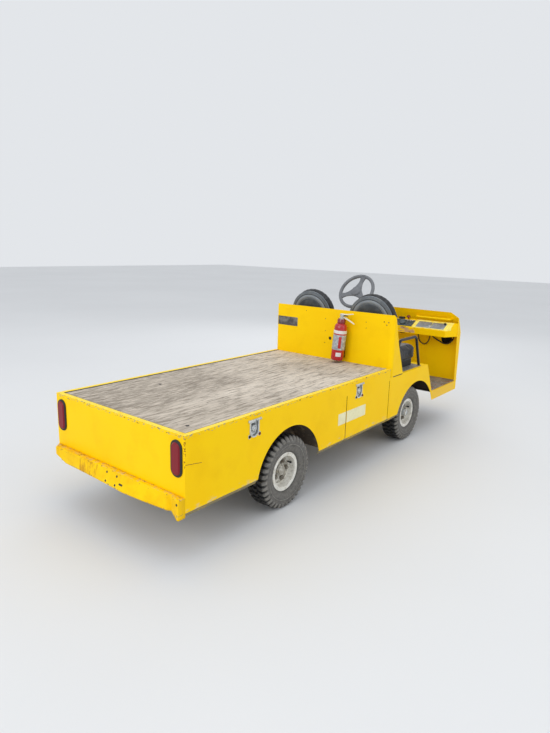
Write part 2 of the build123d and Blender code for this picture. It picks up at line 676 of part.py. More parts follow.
def front_cowl():
    """Nose shell trimmed to its flanges, clipped top corners and headlight holes."""
    front, edge = at(BODY_LENGTH), at(FLANGE_TOP_X)
    shell = cowl_block(0) - cowl_block(SHEET)
    keep = outline((at(FLANGE_FOOT_X), SILL_Z), (front, SILL_Z), (front, COWL_TOP_Z),
                   (at(COWL_TOP_X) - SHEET, COWL_TOP_Z), (edge, COWL_TOP_Z - COWL_CLIP_Z),
                   (edge, DASH_LIP_LOW_Z), (at(FLANGE_FOOT_X), FLOOR_Z))
    shell = shell & prism_y(keep, -HALF, HALF)
    clip = outline((HALF - COWL_CLIP_Y, COWL_TOP_Z), (HALF, COWL_TOP_Z), (HALF, COWL_TOP_Z - COWL_CLIP_Z))
    lamp = prism_x(Pos(HEADLIGHT_Y, HEADLIGHT_Z) * Circle(LAMP_BACK_R), front - SHEET, front)
    cut = prism_x(clip, min(edge, at(COWL_TOP_X)) - 2 * SHEET, front) + lamp
    return shell - cut - mirrored(cut)


def headlights():
    """Round bezel cups on the front panel, each with its back let through the hole."""
    place = Pos(HEADLIGHT_Y, HEADLIGHT_Z)
    front = at(BODY_LENGTH)
    bezel = prism_x(place * Circle(HEADLIGHT_R + BEZEL_WIDTH), front, front + BEZEL_DEPTH)
    bezel = chamfer(bezel.faces().sort_by(Axis.X)[-1].edges(), BEZEL_WIDTH / 2)
    back = prism_x(place * Circle(LAMP_BACK_R - FIT_GAP), front - LAMP_BACK_DEPTH, front)
    cup = prism_x(place * Circle(HEADLIGHT_R), front + BEZEL_DEPTH / 4, front + BEZEL_DEPTH)
    return both(bezel + back - cup)


def headlight_lenses():
    """Glass discs with a bevelled edge in the bezels."""
    back = at(BODY_LENGTH) + BEZEL_DEPTH / 4
    disc = prism_x(Pos(HEADLIGHT_Y, HEADLIGHT_Z) * Circle(HEADLIGHT_R - FIT_GAP),
                   back, back + LENS_BULGE)
    return both(chamfer(disc.faces().sort_by(Axis.X)[-1].edges(), LENS_BEVEL))


# Dash
def dash_block(inset):
    """Dash outline: upright lip, sloping top, ends angled to the flanges."""
    back, front = at(DASH_LIP_X) + inset, at(COWL_TOP_X)
    side = outline((back, DASH_LIP_LOW_Z), (front, DASH_LIP_LOW_Z), (front, DASH_BACK_Z - inset),
                   (back, DASH_LIP_HIGH_Z + DASH_SLOPE * inset - inset))
    plan = outline((back, inset - DASH_LIP_HALF), (front, inset - INNER_Y + FIT_GAP),
                   (front, INNER_Y - inset - FIT_GAP), (back, DASH_LIP_HALF - inset))
    return prism_y(side, -HALF, HALF) & prism_z(plan, DASH_LIP_LOW_Z, DASH_BACK_Z)


def dash_top(y):
    """Plane on the sloping dash top, x up the slope from the first instrument's edge."""
    run = math.hypot(1, DASH_SLOPE)
    return Plane(origin=(at(DASH_LIP_X) + PLATE_START, y, DASH_LIP_HIGH_Z + PLATE_START * DASH_SLOPE),
                 x_dir=(1 / run, 0, DASH_SLOPE / run), z_dir=(-DASH_SLOPE / run, 0, 1 / run))


def passenger_plates():
    """The two passenger-side plates as (y low, y high)."""
    low = PLATE_INSET - DASH_LIP_HALF
    high = CLUSTER_SPAN[0] - PLATE_OFFSET
    middle = (low + high) / 2
    return (low, middle - PLATE_GAP / 2), (middle + PLATE_GAP / 2, high)


def flat_plate(x0, x1, y0, y1, thickness):
    """Plate lying on the dash top."""
    sketch = Pos((x0 + x1) / 2, (y0 + y1) / 2) * Rectangle(x1 - x0, y1 - y0)
    return extrude(dash_top(0) * sketch, thickness)


def dash_panel():
    """Folded dash sheet with the column's hole and a raised frame round the plates."""
    sheet = dash_block(0) - dash_block(SHEET)
    (low, _), (_, high) = passenger_plates()
    edge = DASH_FRAME_WIDTH + FIT_GAP
    frame = flat_plate(-edge, PLATE_LENGTH + edge, low - edge, high + edge, DASH_FRAME_HEIGHT)
    frame = frame - flat_plate(-FIT_GAP, PLATE_LENGTH + FIT_GAP, low - FIT_GAP, high + FIT_GAP,
                               DASH_FRAME_HEIGHT)
    return sheet + frame - column_bar(COLUMN_R + HOLE_CLEARANCE, 0, column_length())


def instrument_panels():
    """Plates on the sloping dash: middle cluster and the passenger side's pair."""
    spans = (CLUSTER_SPAN, *passenger_plates())
    return group(*[flat_plate(0, PLATE_LENGTH, y0, y1, PLATE_THICKNESS) for y0, y1 in spans])


def grab_handle():
    """Bent bar in front of the passenger, on the nose panel's inner face."""
    wall = at(COWL_TOP_X) + (COWL_TOP_Z - HANDLE_Z) * COWL_LEAN
    out = wall - HANDLE_REACH
    (low, _), (_, high) = passenger_plates()
    y0, y1 = low - HANDLE_R, high + HANDLE_REACH
    route = FilletPolyline((wall, y0, HANDLE_Z), (out, y0, HANDLE_Z), (out, y1, HANDLE_Z),
                           (wall, y1, HANDLE_Z), radius=HANDLE_BEND)
    tube = sweep(Plane(origin=route @ 0, z_dir=route % 0) * Circle(HANDLE_R), path=route)
    return tube & cowl_block(SHEET)


def wire_plane_x():
    """Model x of the wiring's middle line."""
    return at(BODY_LENGTH) - SHEET - WIRE_OFF_PANEL


def wire(route, radius):
    """Wiring hanging between two clips: runs joined by arcs as large as the runs allow."""
    x = wire_plane_x()
    points = [Vector(x, inboard - HALF, z) for inboard, z in route]
    radii = []
    for before, corner, after in zip(points, points[1:], points[2:]):
        turn = math.radians((corner - before).get_angle(after - corner))
        shorter = min((corner - before).length, (after - corner).length)
        radii.append(WIRE_ARC_SHARE * shorter / math.tan(turn / 2))
    print("wire radii", [round(value) for value in radii])
    path = FilletPolyline(*points, radius=radii)
    return sweep(Plane(origin=path @ 0, z_dir=path % 0) * Circle(radius), path=path)


def wire_clips():
    """Clips on the nose panel that hold the wiring's ends."""
    back = at(BODY_LENGTH) - SHEET
    ends = [route[index] for route in (WIRE_LOOP, WIRE_BUNDLE) for index in (0, -1)]
    low = HALF + CLIP_SIZE / 2
    return group(*[box(back - CLIP_SIZE, back, inboard - low, inboard - low + CLIP_SIZE, z, z + CLIP_SIZE)
                   for inboard, z in ends])


# Steering gear
def column_length():
    """Length from the wheel's centre to the column's foot."""
    return (WHEEL_BACK - COLUMN_FOOT_BACK) / math.cos(math.radians(COLUMN_TILT))


def column_point(distance):
    """Point on the column's axis, a distance ahead of the wheel's centre."""
    tilt = math.radians(COLUMN_TILT)
    return Vector(at(WHEEL_X) + distance * math.cos(tilt), SEAT_Y, WHEEL_Z - distance * math.sin(tilt))


def column_bar(radius, start, end):
    """Round bar on the steering column's axis."""
    return rod(column_point(start), column_point(end), radius)


def shaft_ends():
    """Upper joint and gear ends of the lower steering shaft."""
    gear = Vector(at(STEER_BOX_X), KINGPIN_Y, FLOOR_BOTTOM_Z - STEER_BOX_HEIGHT / 2)
    return column_point(column_length()), gear


def steering_column():
    """Column jacket through the dash and lower shaft to the steering box on the rail."""
    foot = column_point(column_length())
    jacket = column_bar(COLUMN_R, WHEEL_HUB_R, column_length())
    joint = Pos(foot.X, foot.Y, foot.Z) * Sphere(COLUMN_R + HOLE_CLEARANCE)
    case = box(at(STEER_BOX_X) - STEER_BOX_LENGTH / 2, at(STEER_BOX_X) + STEER_BOX_LENGTH / 2,
               RAIL_Y + RAIL_WIDTH / 2, KINGPIN_Y + STEER_BOX_OUTBOARD,
               STEER_BOX_BOTTOM_Z, FLOOR_BOTTOM_Z)
    return jacket + joint + rod(*shaft_ends(), LOWER_SHAFT_R) + case


def steering_wheel():
    """Moulded three-spoke wheel in its own plane, then tilted to the column."""
    ring = Plane.XZ * Pos(WHEEL_R - WHEEL_TUBE_R, 0) * RegularPolygon(WHEEL_TUBE_R, 8)
    wheel = revolve(ring, axis=Axis.Z)
    hub = extrude(Circle(WHEEL_HUB_R), WHEEL_HUB_HEIGHT)
    wheel = wheel + chamfer(hub.faces().sort_by(Axis.Z)[-1].edges(), WHEEL_HUB_HEIGHT / 4)
    reach = WHEEL_R - WHEEL_TUBE_R
    edge = [(share * reach, half) for share, half in SPOKE_OUTLINE]
    spoke = outline(*[(x, -half) for x, half in edge], *reversed(edge))
    blade = Pos(0, 0, -SPOKE_DROP) * extrude(spoke, WHEEL_TUBE_R)
    for angle in WHEEL_SPOKE_ANGLES:
        wheel = wheel + Rot(0, 0, angle) * blade
    boss = Pos(0, 0, FIT_GAP - WHEEL_HUB_R) * extrude(Circle(COLUMN_R), WHEEL_HUB_R)
    tilt = math.radians(COLUMN_TILT)
    plane = Plane(origin=column_point(0), x_dir=(0, -1, 0), z_dir=(-math.cos(tilt), 0, math.sin(tilt)))
    return plane * (wheel + boss)


# Wheels: profile (distance outward from the middle plane, radius) turned about the axle
def turned(points, x, y_mid, side):
    """Solid of revolution about a wheel axis, outward side given by its sign."""
    profile = outline(*[(y_mid + side * w, r) for w, r in points])
    plane = Plane(origin=(x, 0, TYRE_R), x_dir=(0, 1, 0), z_dir=(1, 0, 0))
    return revolve(plane * profile, axis=Axis((x, 0, TYRE_R), (0, 1, 0)))


def lug_ring():
    """Toothed tread outline: each lug flat across its tip, the bottom one on the ground."""
    pitch = 2 * math.pi / LUG_TEETH
    root = TYRE_R - LUG_DEPTH
    corners = ((root, -LUG_ROOT_SHARE), (TYRE_R, -LUG_TIP_SHARE), (TYRE_R, LUG_TIP_SHARE),
               (root, LUG_ROOT_SHARE), (root, 0.5))
    points = []
    for index in range(LUG_TEETH):
        for height, share in corners:
            reach, angle = height / math.cos(share * pitch), (index + share) * pitch - math.pi / 2
            points.append((reach * math.cos(angle), reach * math.sin(angle)))
    return outline(*points)


def flat_sided(section, x, y_mid):
    """Ring about a wheel axis with one flat per lug: closed section of (distance out, inner radius)."""
    pitch = 2 * math.pi / LUG_TEETH
    rings = []
    for w, radius in section:
        reach = radius / math.cos(pitch / 2)
        angles = [(index + 0.5) * pitch - math.pi / 2 for index in range(LUG_TEETH)]
        rings.append([(x + reach * math.cos(a), y_mid + w, TYRE_R + reach * math.sin(a)) for a in angles])
    flats = []
    for ring, following in zip(rings, rings[1:] + rings[:1]):
        for index in range(LUG_TEETH):
            flats.append(outline(ring[index - 1], ring[index], following[index], following[index - 1]))
    return Solid(Shell(flats))


def tyre(x, y_mid):
    """Flat-sided carcass with its beads on the rim, and a band of lugs across the tread."""
    across = Plane(origin=(x, y_mid, TYRE_R), x_dir=(1, 0, 0), z_dir=(0, -1, 0))
    tread, wall, bead = TREAD_WIDTH / 2, TYRE_WIDTH / 2, RIM_HALF_WIDTH - RIM_WALL
    root = TYRE_R - LUG_DEPTH
    half = [(tread, root), ((tread + wall) / 2, root * SHOULDER_EASE), (wall, root * WALL_TOP_SHARE),
            (wall, root * WALL_FOOT_SHARE), (bead, RIM_FLANGE_R + RUN_CLEARANCE),
            (bead, RIM_SEAT_R + FIT_GAP)]
    carcass = flat_sided(half + [(-w, radius) for w, radius in reversed(half)], x, y_mid)
    hidden = Rot(0, 0, 90 + 180 / LUG_TEETH) * RegularPolygon(root * SHOULDER_EASE, LUG_TEETH,
                                                             major_radius=False)
    return carcass + extrude(across * (lug_ring() - hidden), tread, both=True)


def wheel(x, y_mid, side, nose):
    """Steel rim, recessed disc, drum, hub, nuts and a cap of the given length."""
    h, s, f, wall = RIM_HALF_WIDTH, RIM_SEAT_R, RIM_FLANGE_R, RIM_WALL
    disc_out, disc_in = DISC_IN + DISC_THICKNESS, DISC_IN
    bore = SPINDLE_R + RUN_CLEARANCE
    barrel = [(-h, f), (-h + wall, f), (-h + wall, s), (h - wall, s), (h - wall, f), (h, f),
              (h, s - wall), (disc_out, s - 2 * wall), (disc_out, bore), (HUB_INNER, bore),
              (HUB_INNER, HUB_R), (HUB_INNER + 2 * wall, HUB_R), (HUB_INNER + 2 * wall, DRUM_R - wall),
              (HUB_INNER, DRUM_R - wall), (HUB_INNER, DRUM_R), (disc_in, DRUM_R),
              (disc_in, s - 2 * wall), (-h, s - wall)]
    solid = turned(barrel, x, y_mid, side)
    cap = [(disc_out, 0), (disc_out, HUB_R), (disc_out + 2 * wall, HUB_R), (disc_out + 3 * wall, CAP_R),
           (disc_out + nose - wall, CAP_R), (disc_out + nose, CAP_R - wall), (disc_out + nose, 0)]
    solid = solid + turned(cap, x, y_mid, side)
    for index in range(NUT_COUNT):
        angle = 2 * math.pi * index / NUT_COUNT
        place = Pos(x + LUG_CIRCLE_R * math.cos(angle), TYRE_R + LUG_CIRCLE_R * math.sin(angle))
        solid = solid + prism_y(place * RegularPolygon(NUT_R, 6), y_mid + side * DISC_IN,
                                y_mid + side * (disc_out + NUT_HEIGHT))
    return solid


# Front axle and steering linkage
def front_axle():
    """Square beam with a boss and a kingpin at each end."""
    x = at(FRONT_AXLE_X)
    low, high = TYRE_R - BEAM_SIZE / 2, TYRE_R + BEAM_SIZE / 2
    beam = box(x - BEAM_SIZE / 2, x + BEAM_SIZE / 2, 0, KINGPIN_Y - BOSS_R - ARM_WIDTH, low, high)
    neck = box(x - BOSS_R, x + BOSS_R, KINGPIN_Y - BOSS_R - BEAM_SIZE, KINGPIN_Y, low, high)
    boss = post(x, KINGPIN_Y, TYRE_R - BOSS_HEIGHT / 2, TYRE_R + BOSS_HEIGHT / 2, BOSS_R)
    pin = post(x, KINGPIN_Y, EAR_LOW_Z, EAR_HIGH_Z + EAR_PLATE, KINGPIN_R)
    half = beam + neck + boss + pin
    return half + mirrored(half)


def eye_arm(x, y, z0, dx, dy):
    """Steering arm: a bar from a pivot to a round eye."""
    half_x, half_y = (0, ARM_WIDTH / 2) if dx else (ARM_WIDTH / 2, 0)
    bar = box(min(x, x + dx) - half_x, max(x, x + dx) + half_x, min(y, y + dy) - half_y,
              max(y, y + dy) + half_y, z0, z0 + EAR_PLATE)
    return bar + post(x + dx, y + dy, z0, z0 + EAR_PLATE, EYE_R)


def knuckle(side):
    """Yoke round the axle boss with the spindle, tie-rod arm and, on the left, a steering arm."""
    x, y = at(FRONT_AXLE_X), side * KINGPIN_Y
    web_in, web_out = BOSS_R + SPRING_LEAF, EAR_R + SPRING_LEAF + EAR_PLATE / 2
    piece = box(x - EAR_R, x + EAR_R, y + side * web_in, y + side * web_out,
                EAR_LOW_Z, EAR_HIGH_Z + EAR_PLATE)
    for z0 in (EAR_LOW_Z, EAR_HIGH_Z):
        piece = piece + post(x, y, z0, z0 + EAR_PLATE, EAR_R)
        piece = piece + box(x - EAR_R, x + EAR_R, y, y + side * web_out, z0, z0 + EAR_PLATE)
    piece = piece + cylinder_y(x, TYRE_R, SPINDLE_R, y + side * web_in, side * (FRONT_MID_Y + DISC_IN))
    piece = piece + cylinder_y(x, TYRE_R, HUB_R - EAR_PLATE / 2, y + side * web_in,
                               side * (FRONT_MID_Y + HUB_INNER - RUN_CLEARANCE))
    piece = piece + eye_arm(x, y, EAR_LOW_Z, -ARM_LENGTH, 0)
    if side > 0:
        piece = piece + eye_arm(x, y, EAR_LOW_Z, 0, -STEER_ARM_LENGTH)
    return piece - post(x, y, EAR_LOW_Z, EAR_HIGH_Z + EAR_PLATE, KINGPIN_R + RUN_CLEARANCE)


def joint_block(x, y):
    """Ball joint's body under a steering arm's eye."""
    return post(x, y, LINK_Z - BALL_HEIGHT / 2, LINK_Z + BALL_HEIGHT / 2 - EAR_GAP, BALL_R)


def tie_rod():
    """Rod across the rear of the axle with a joint block under each arm."""
    x = at(FRONT_AXLE_X) - ARM_LENGTH
    bar = cylinder_y(x, LINK_Z, TIE_ROD_R, -KINGPIN_Y, KINGPIN_Y)
    return bar + joint_block(x, KINGPIN_Y) + joint_block(x, -KINGPIN_Y)


def pitman_arm():
    """Drop arm under the steering box, parallel to the left knuckle's steering arm."""
    x = at(STEER_BOX_X)
    shaft = post(x, KINGPIN_Y, EAR_LOW_Z, STEER_BOX_BOTTOM_Z - EAR_GAP / 2, KINGPIN_R)
    return shaft + eye_arm(x, KINGPIN_Y, EAR_LOW_Z, 0, -STEER_ARM_LENGTH)


def drag_link():
    """Rod from the drop arm back to the knuckle's steering arm."""
    x0, x1, y = at(FRONT_AXLE_X), at(STEER_BOX_X), KINGPIN_Y - STEER_ARM_LENGTH
    bar = prism_x(Pos(y, LINK_Z) * Circle(TIE_ROD_R), x0, x1)
    return bar + joint_block(x0, y) + joint_block(x1, y)


# Suspension, drive and power
def arc_leaf(x_mid, z_low, rise, thickness):
    """Spring leaves: an arc of constant thickness in the side view."""
    half = SPRING_HALF
    low = ThreePointArc((x_mid - half, z_low + rise), (x_mid, z_low), (x_mid + half, z_low + rise))
    high = ThreePointArc((x_mid + half, z_low + rise + thickness), (x_mid, z_low + thickness),
                         (x_mid - half, z_low + rise + thickness))
    return make_face(low + high + Line(low @ 1, high @ 0) + Line(high @ 1, low @ 0))


def leaf_springs():
    """Leaf pack and end brackets under each rail, over both axles."""
    y0, y1 = RAIL_Y - SPRING_WIDTH / 2, RAIL_Y + SPRING_WIDTH / 2
    packs = []
    for station, seat in ((FRONT_AXLE_X, TYRE_R + BEAM_SIZE / 2), (REAR_AXLE_X, TYRE_R + REAR_TUBE_R)):
        x, low = at(station), seat + FIT_GAP
        rise = RAIL_Z - low - 3 * SPRING_LEAF
        pack = prism_y(arc_leaf(x, low, rise, 2 * SPRING_LEAF), y0, y1)
        for sign in (-1, 1):
            end = x + sign * (SPRING_HALF - SPRING_BLOCK / 2)
            pack = pack + box(end - SPRING_BLOCK / 2, end + SPRING_BLOCK / 2, y0, y1, low + rise, RAIL_Z)
        packs.append(both(pack))
    return group(*packs)


def rear_axle():
    """Axle tube, gear housing and the drive motor ahead of it."""
    x = at(REAR_AXLE_X)
    tube_end, stub_end = REAR_MID_Y + HUB_INNER - RUN_CLEARANCE, REAR_MID_Y + DISC_IN
    axle = cylinder_y(x, TYRE_R, REAR_TUBE_R, -tube_end, tube_end)
    axle = axle + cylinder_y(x, TYRE_R, SPINDLE_R, -stub_end, stub_end)
    gear = cylinder_y(x, TYRE_R, GEAR_R, -GEAR_WIDTH / 2, GEAR_WIDTH / 2)
    gear = chamfer([e for e in gear.edges() if e.geom_type == GeomType.CIRCLE], GEAR_CHAMFER)
    start = x + GEAR_R - MOTOR_SEAT
    motor = prism_x(Pos(0, TYRE_R) * Circle(MOTOR_R), start, start + MOTOR_LENGTH)
    motor = chamfer(motor.faces().sort_by(Axis.X)[-1].edges(), GEAR_CHAMFER / 2)
    return axle + gear + motor


def battery_pack():
    """Traction batteries as one block on the rails, between two bearers."""
    half = RAIL_Y + RAIL_WIDTH / 2 + BATTERY_OVERHANG
    start = BEARERS[2] + BEARER_WIDTH / 2 + BATTERY_CLEARANCE
    end = BEARERS[3] - BEARER_WIDTH / 2 - BATTERY_CLEARANCE
    return box(at(start), at(end), -half, half, RAIL_TOP_Z, RAIL_TOP_Z + BATTERY_HEIGHT)


def wheel_arch_liners():
    """Upright sheets inboard of the rear wheels, hung from the deck bearers."""
    outer = REAR_MID_Y - TYRE_WIDTH / 2 - LINER_CLEARANCE
    return both(box(at(BEARERS[1]) + BEARER_WIDTH / 2, at(BEARERS[2]) - BEARER_WIDTH / 2,
                    outer - SHEET, outer, RAIL_Z, BEARER_Z + BEARER_HEIGHT))


# Seats: moulded shell, back pad and cushion, drawn for the left seat
def shell_x(z):
    """Model x of the back shell's front face at a height."""
    share = (z - CUSHION_BOTTOM_Z) / (SEAT_TOP_Z - CUSHION_BOTTOM_Z)
    return at(SEAT_BACK_X) + SEAT_LEAN * (0.5 - share)


def back_plane():
    """Plane of the shell's front face at its foot: x to the left, y up the back."""
    rise = SEAT_TOP_Z - CUSHION_BOTTOM_Z
    return Plane(origin=(shell_x(CUSHION_BOTTOM_Z), SEAT_Y, CUSHION_BOTTOM_Z), x_dir=(0, 1, 0),
                 z_dir=(rise, 0, SEAT_LEAN))


def domed(inset, low, top_z):
    """Seat back outline: straight sides from a height, round top up to a model height."""
    half = SEAT_WIDTH / 2 - inset
    length = math.hypot(SEAT_LEAN, SEAT_TOP_Z - CUSHION_BOTTOM_Z)
    top = (top_z - CUSHION_BOTTOM_Z) / (SEAT_TOP_Z - CUSHION_BOTTOM_Z) * length - inset
    side = top - half
    sides = Polyline((half, side), (half, low), (-half, low), (-half, side))
    return make_face(sides + ThreePointArc((-half, side), (0, top), (half, side)))


def seat_shell():
    """Moulded back shell with a ring and a raised middle, on a low base."""
    plane = back_plane()
    ring = SHELL_RING
    back = extrude(plane * domed(0, 0, SEAT_TOP_Z), -SHELL_DEPTH)
    rear = plane.offset(-SHELL_DEPTH)
    rim = domed(PAD_INSET, PAD_INSET, SEAT_TOP_Z) - domed(ring, ring, SEAT_TOP_Z)
    middle = domed(ring + SHELL_GROOVE, ring + SHELL_GROOVE, SEAT_TOP_Z)
    back = back + extrude(rear * rim, -SHELL_RELIEF) + extrude(rear * middle, -SHELL_RELIEF)
    heel = shell_x(CUSHION_BOTTOM_Z)
    y0, y1 = SEAT_Y - SEAT_WIDTH / 2 + BASE_INSET, SEAT_Y + SEAT_WIDTH / 2 - BASE_INSET
    foot = box(heel - SHELL_DEPTH, heel, y0, y1, PLATFORM_Z, CUSHION_BOTTOM_Z)
    base = box(heel - SHELL_DEPTH, at(CUSHION_FRONT_X) - BASE_SETBACK, y0, y1, PLATFORM_Z,
               CUSHION_BOTTOM_Z - FIT_GAP)
    return back + foot + base


def seat_back():
    """Back pad in front of the shell."""
    plane = back_plane().offset(FIT_GAP)
    low = (CUSHION_TOP_Z - CUSHION_BOTTOM_Z) + PAD_INSET
    pad = extrude(plane * domed(PAD_INSET, low, SEAT_TOP_Z - PAD_DROP), PAD_DEPTH)
    return chamfer(pad.faces().sort_by(Axis.X)[-1].edges(), PAD_DEPTH / 4)


def seat_cushion():
    """Seat cushion, a block with round front corners and a full nose."""
    heel = shell_x(CUSHION_BOTTOM_Z) + FIT_GAP
    pad = box(heel, at(CUSHION_FRONT_X), SEAT_Y - SEAT_WIDTH / 2, SEAT_Y + SEAT_WIDTH / 2,
              CUSHION_BOTTOM_Z, CUSHION_TOP_Z)
    pad = fillet(pad.edges().filter_by(Axis.Z).sort_by(Axis.X)[-2:], CUSHION_CORNER)
    nose = [e for e in pad.faces().sort_by(Axis.Z)[-1].edges() if e.center().X > heel + FIT_GAP]
    return chamfer(nose, CUSHION_NOSE / 2)


def hip_restraints():
    """Bent tube beside each seat, from the back down to the platform."""
    y = SEAT_Y + SEAT_WIDTH / 2 + HIP_OUTBOARD
    rear, bend, foot = at(SEAT_BACK_X + HIP_REAR), at(DECK_LENGTH + HIP_BEND), at(DECK_LENGTH + HIP_FOOT)
    below = PLATFORM_Z - 2 * HIP_TUBE_R
    route = FilletPolyline((rear, y, PLATFORM_Z), (rear, y, HIP_TUBE_Z), (bend, y, HIP_TUBE_Z),
                           (foot, y, below), radius=HIP_BEND_R)
    tube = sweep(Plane(origin=route @ 0, z_dir=route % 0) * Circle(HIP_TUBE_R), path=route)
    under = box(bend, foot + 2 * HIP_TUBE_R, y - 2 * HIP_TUBE_R, y + 2 * HIP_TUBE_R,
                PLATFORM_Z - 4 * HIP_TUBE_R, PLATFORM_Z)
    return both(tube - under)


def pedals():
    """Brake and accelerator pads on short arms from the floor."""
    x = at(BODY_LENGTH - PEDAL_BACK)
    pieces = []
    for y, width in ((SEAT_Y - BRAKE_INBOARD, BRAKE_WIDTH), (SEAT_Y + THROTTLE_OUTBOARD, THROTTLE_WIDTH)):
        stem = box(x, x + LOWER_SHAFT_R, y - LOWER_SHAFT_R / 2, y + LOWER_SHAFT_R / 2,
                   FLOOR_Z, FLOOR_Z + PEDAL_HEIGHT)
        pad = Pos(x - HOLE_CLEARANCE, y, FLOOR_Z + PEDAL_HEIGHT) * Rot(0, -COLUMN_TILT, 0) \
            * Box(LOWER_SHAFT_R, width, PEDAL_LENGTH)
        pieces.append(stem + pad)
    return group(*pieces)


# Extinguisher, drawn upright on the origin
def leaning(shape):
    """The piece stood at the bottle's foot and leant to the vehicle's right."""
    return Pos(at(BOTTLE_X), BOTTLE_Y, BOTTLE_BOTTOM_Z) * Rot(BOTTLE_LEAN, 0, 0) * shape


def extinguisher_bottle():
    """Bottle with a domed shoulder and its wall bracket."""
    r, top = BOTTLE_R, BOTTLE_HEIGHT
    foot = [(r * across, r * along) for across, along in BOTTLE_FOOT]
    shoulder = [(r * across, top - r * along) for across, along in BOTTLE_SHOULDER]
    profile = outline((0, 0), *foot, *shoulder, (NECK_R, top), (NECK_R, top + NECK_HEIGHT),
                      (0, top + NECK_HEIGHT))
    bottle = leaning(revolve(Plane.XZ * profile, axis=Axis.Z))
    bracket = box(at(BOTTLE_X) + r * BOTTLE_SHOULDER[2][0], at(DECK_LENGTH), BOTTLE_Y - BRACKET_WIDTH / 2,
                  BOTTLE_Y + BRACKET_WIDTH / 2, BOTTLE_BOTTOM_Z + BRACKET_WIDTH / 2,
                  BOTTLE_BOTTOM_Z + BOTTLE_HEIGHT - BRACKET_WIDTH)
    return bottle + bracket


def extinguisher_valve():
    """Valve head with two flat levers pointing to the vehicle's right."""
    z = BOTTLE_HEIGHT + NECK_HEIGHT
    head = post(0, 0, z, z + HEAD_HEIGHT, HEAD_R)
    top, half = z + HEAD_HEIGHT, LEVER_WIDTH / 2
    upper = outline((HEAD_R, top - half), (HEAD_R, top + half / 2),
                    (-UPPER_LEVER, top + half + 1.5 * LEVER_TIP), (-UPPER_LEVER, top + half + LEVER_TIP / 2),
                    (-HEAD_R, top - LEVER_WIDTH * 0.75))
    lower = outline((0, z + half), (0, z + 3 * half), (-LOWER_LEVER, z - half),
                    (-LOWER_LEVER, z - half - LEVER_TIP))
    return leaning(head + prism_x(upper, -half, half) + prism_x(lower, -half, half))


def write_nodes():
    """Build every node and write it."""
    centre = {
        "main_frame": main_frame, "deck_rim": deck_rim, "deck_board": deck_board,
        "rear_panel": rear_panel, "rear_bumper": rear_bumper, "front_bumper": front_bumper,
        "tail_light_housings": tail_light_housings, "tail_light_lenses": tail_light_lenses,
        "bulkhead": bulkhead, "seat_box": seat_box, "footwell_floor": footwell_floor,
        "front_cowl": front_cowl, "headlights": headlights, "headlight_lenses": headlight_lenses,
        "dash_panel": dash_panel, "instrument_panels": instrument_panels, "grab_handle": grab_handle,
        "wire_clips": wire_clips, "steering_column": steering_column,
        "steering_wheel": steering_wheel, "pedals": pedals, "hip_restraints": hip_restraints,
        "wheel_arch_liners": wheel_arch_liners, "tie_downs": tie_downs,
        "extinguisher_bottle": extinguisher_bottle, "extinguisher_valve": extinguisher_valve,
        "front_axle": front_axle, "tie_rod": tie_rod, "pitman_arm": pitman_arm,
        "drag_link": drag_link, "rear_axle": rear_axle, "leaf_springs": leaf_springs,
        "battery_pack": battery_pack,
    }
    for name, make in centre.items():
        save(name, make())
    save("wire_loop", wire(WIRE_LOOP, WIRE_LOOP_R))
    save("wire_bundle", wire(WIRE_BUNDLE, WIRE_BUNDLE_R))
    handed = {"side_panel": side_panel, "front_fender": front_fender, "seat_shell": seat_shell,
              "seat_back": seat_back, "seat_cushion": seat_cushion}
    for name, make in handed.items():
        piece = make()
        save(f"{name}_left", piece)
        save(f"{name}_right", mirrored(piece))
    for hand, side in (("left", 1), ("right", -1)):
        save(f"knuckle_{hand}", knuckle(side))
        save(f"tyre_front_{hand}", tyre(at(FRONT_AXLE_X), side * FRONT_MID_Y))
        save(f"tyre_rear_{hand}", tyre(at(REAR_AXLE_X), side * REAR_MID_Y))
        save(f"wheel_front_{hand}", wheel(at(FRONT_AXLE_X), side * FRONT_MID_Y, side, CAP_LENGTH))
        save(f"wheel_rear_{hand}", wheel(at(REAR_AXLE_X), side * REAR_MID_Y, side, CAP_LENGTH / 2))


write_nodes()
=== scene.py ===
"""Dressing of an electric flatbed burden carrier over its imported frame.

Metres, +X forward, +Y to the driver's side, +Z up, z = 0 on the ground. Stations are
distances ahead of the rear panel. Every finished piece keeps its object at the origin.
"""
import logging
import math
from dataclasses import dataclass, replace
from enum import Enum

import bmesh
import bpy
import numpy as np
from mathutils import Matrix, Vector


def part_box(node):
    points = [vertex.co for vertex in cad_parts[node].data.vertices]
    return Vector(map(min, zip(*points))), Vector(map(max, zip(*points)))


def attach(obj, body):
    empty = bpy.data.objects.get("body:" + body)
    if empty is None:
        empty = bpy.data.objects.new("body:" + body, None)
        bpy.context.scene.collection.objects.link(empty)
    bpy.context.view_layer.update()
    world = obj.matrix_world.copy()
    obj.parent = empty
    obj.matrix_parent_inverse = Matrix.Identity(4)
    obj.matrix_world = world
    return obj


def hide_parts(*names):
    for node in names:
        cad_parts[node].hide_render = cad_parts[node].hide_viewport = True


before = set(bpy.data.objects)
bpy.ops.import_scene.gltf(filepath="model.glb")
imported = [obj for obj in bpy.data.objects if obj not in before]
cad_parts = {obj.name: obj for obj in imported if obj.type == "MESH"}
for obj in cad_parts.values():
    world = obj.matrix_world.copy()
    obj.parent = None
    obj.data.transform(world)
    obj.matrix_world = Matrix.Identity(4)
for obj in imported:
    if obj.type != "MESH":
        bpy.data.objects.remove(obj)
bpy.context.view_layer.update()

Array = np.ndarray
Piece = bpy.types.Object
Tree = bpy.types.NodeTree
Node = bpy.types.Node
Socket = bpy.types.NodeSocket
log = logging.getLogger("carrier")

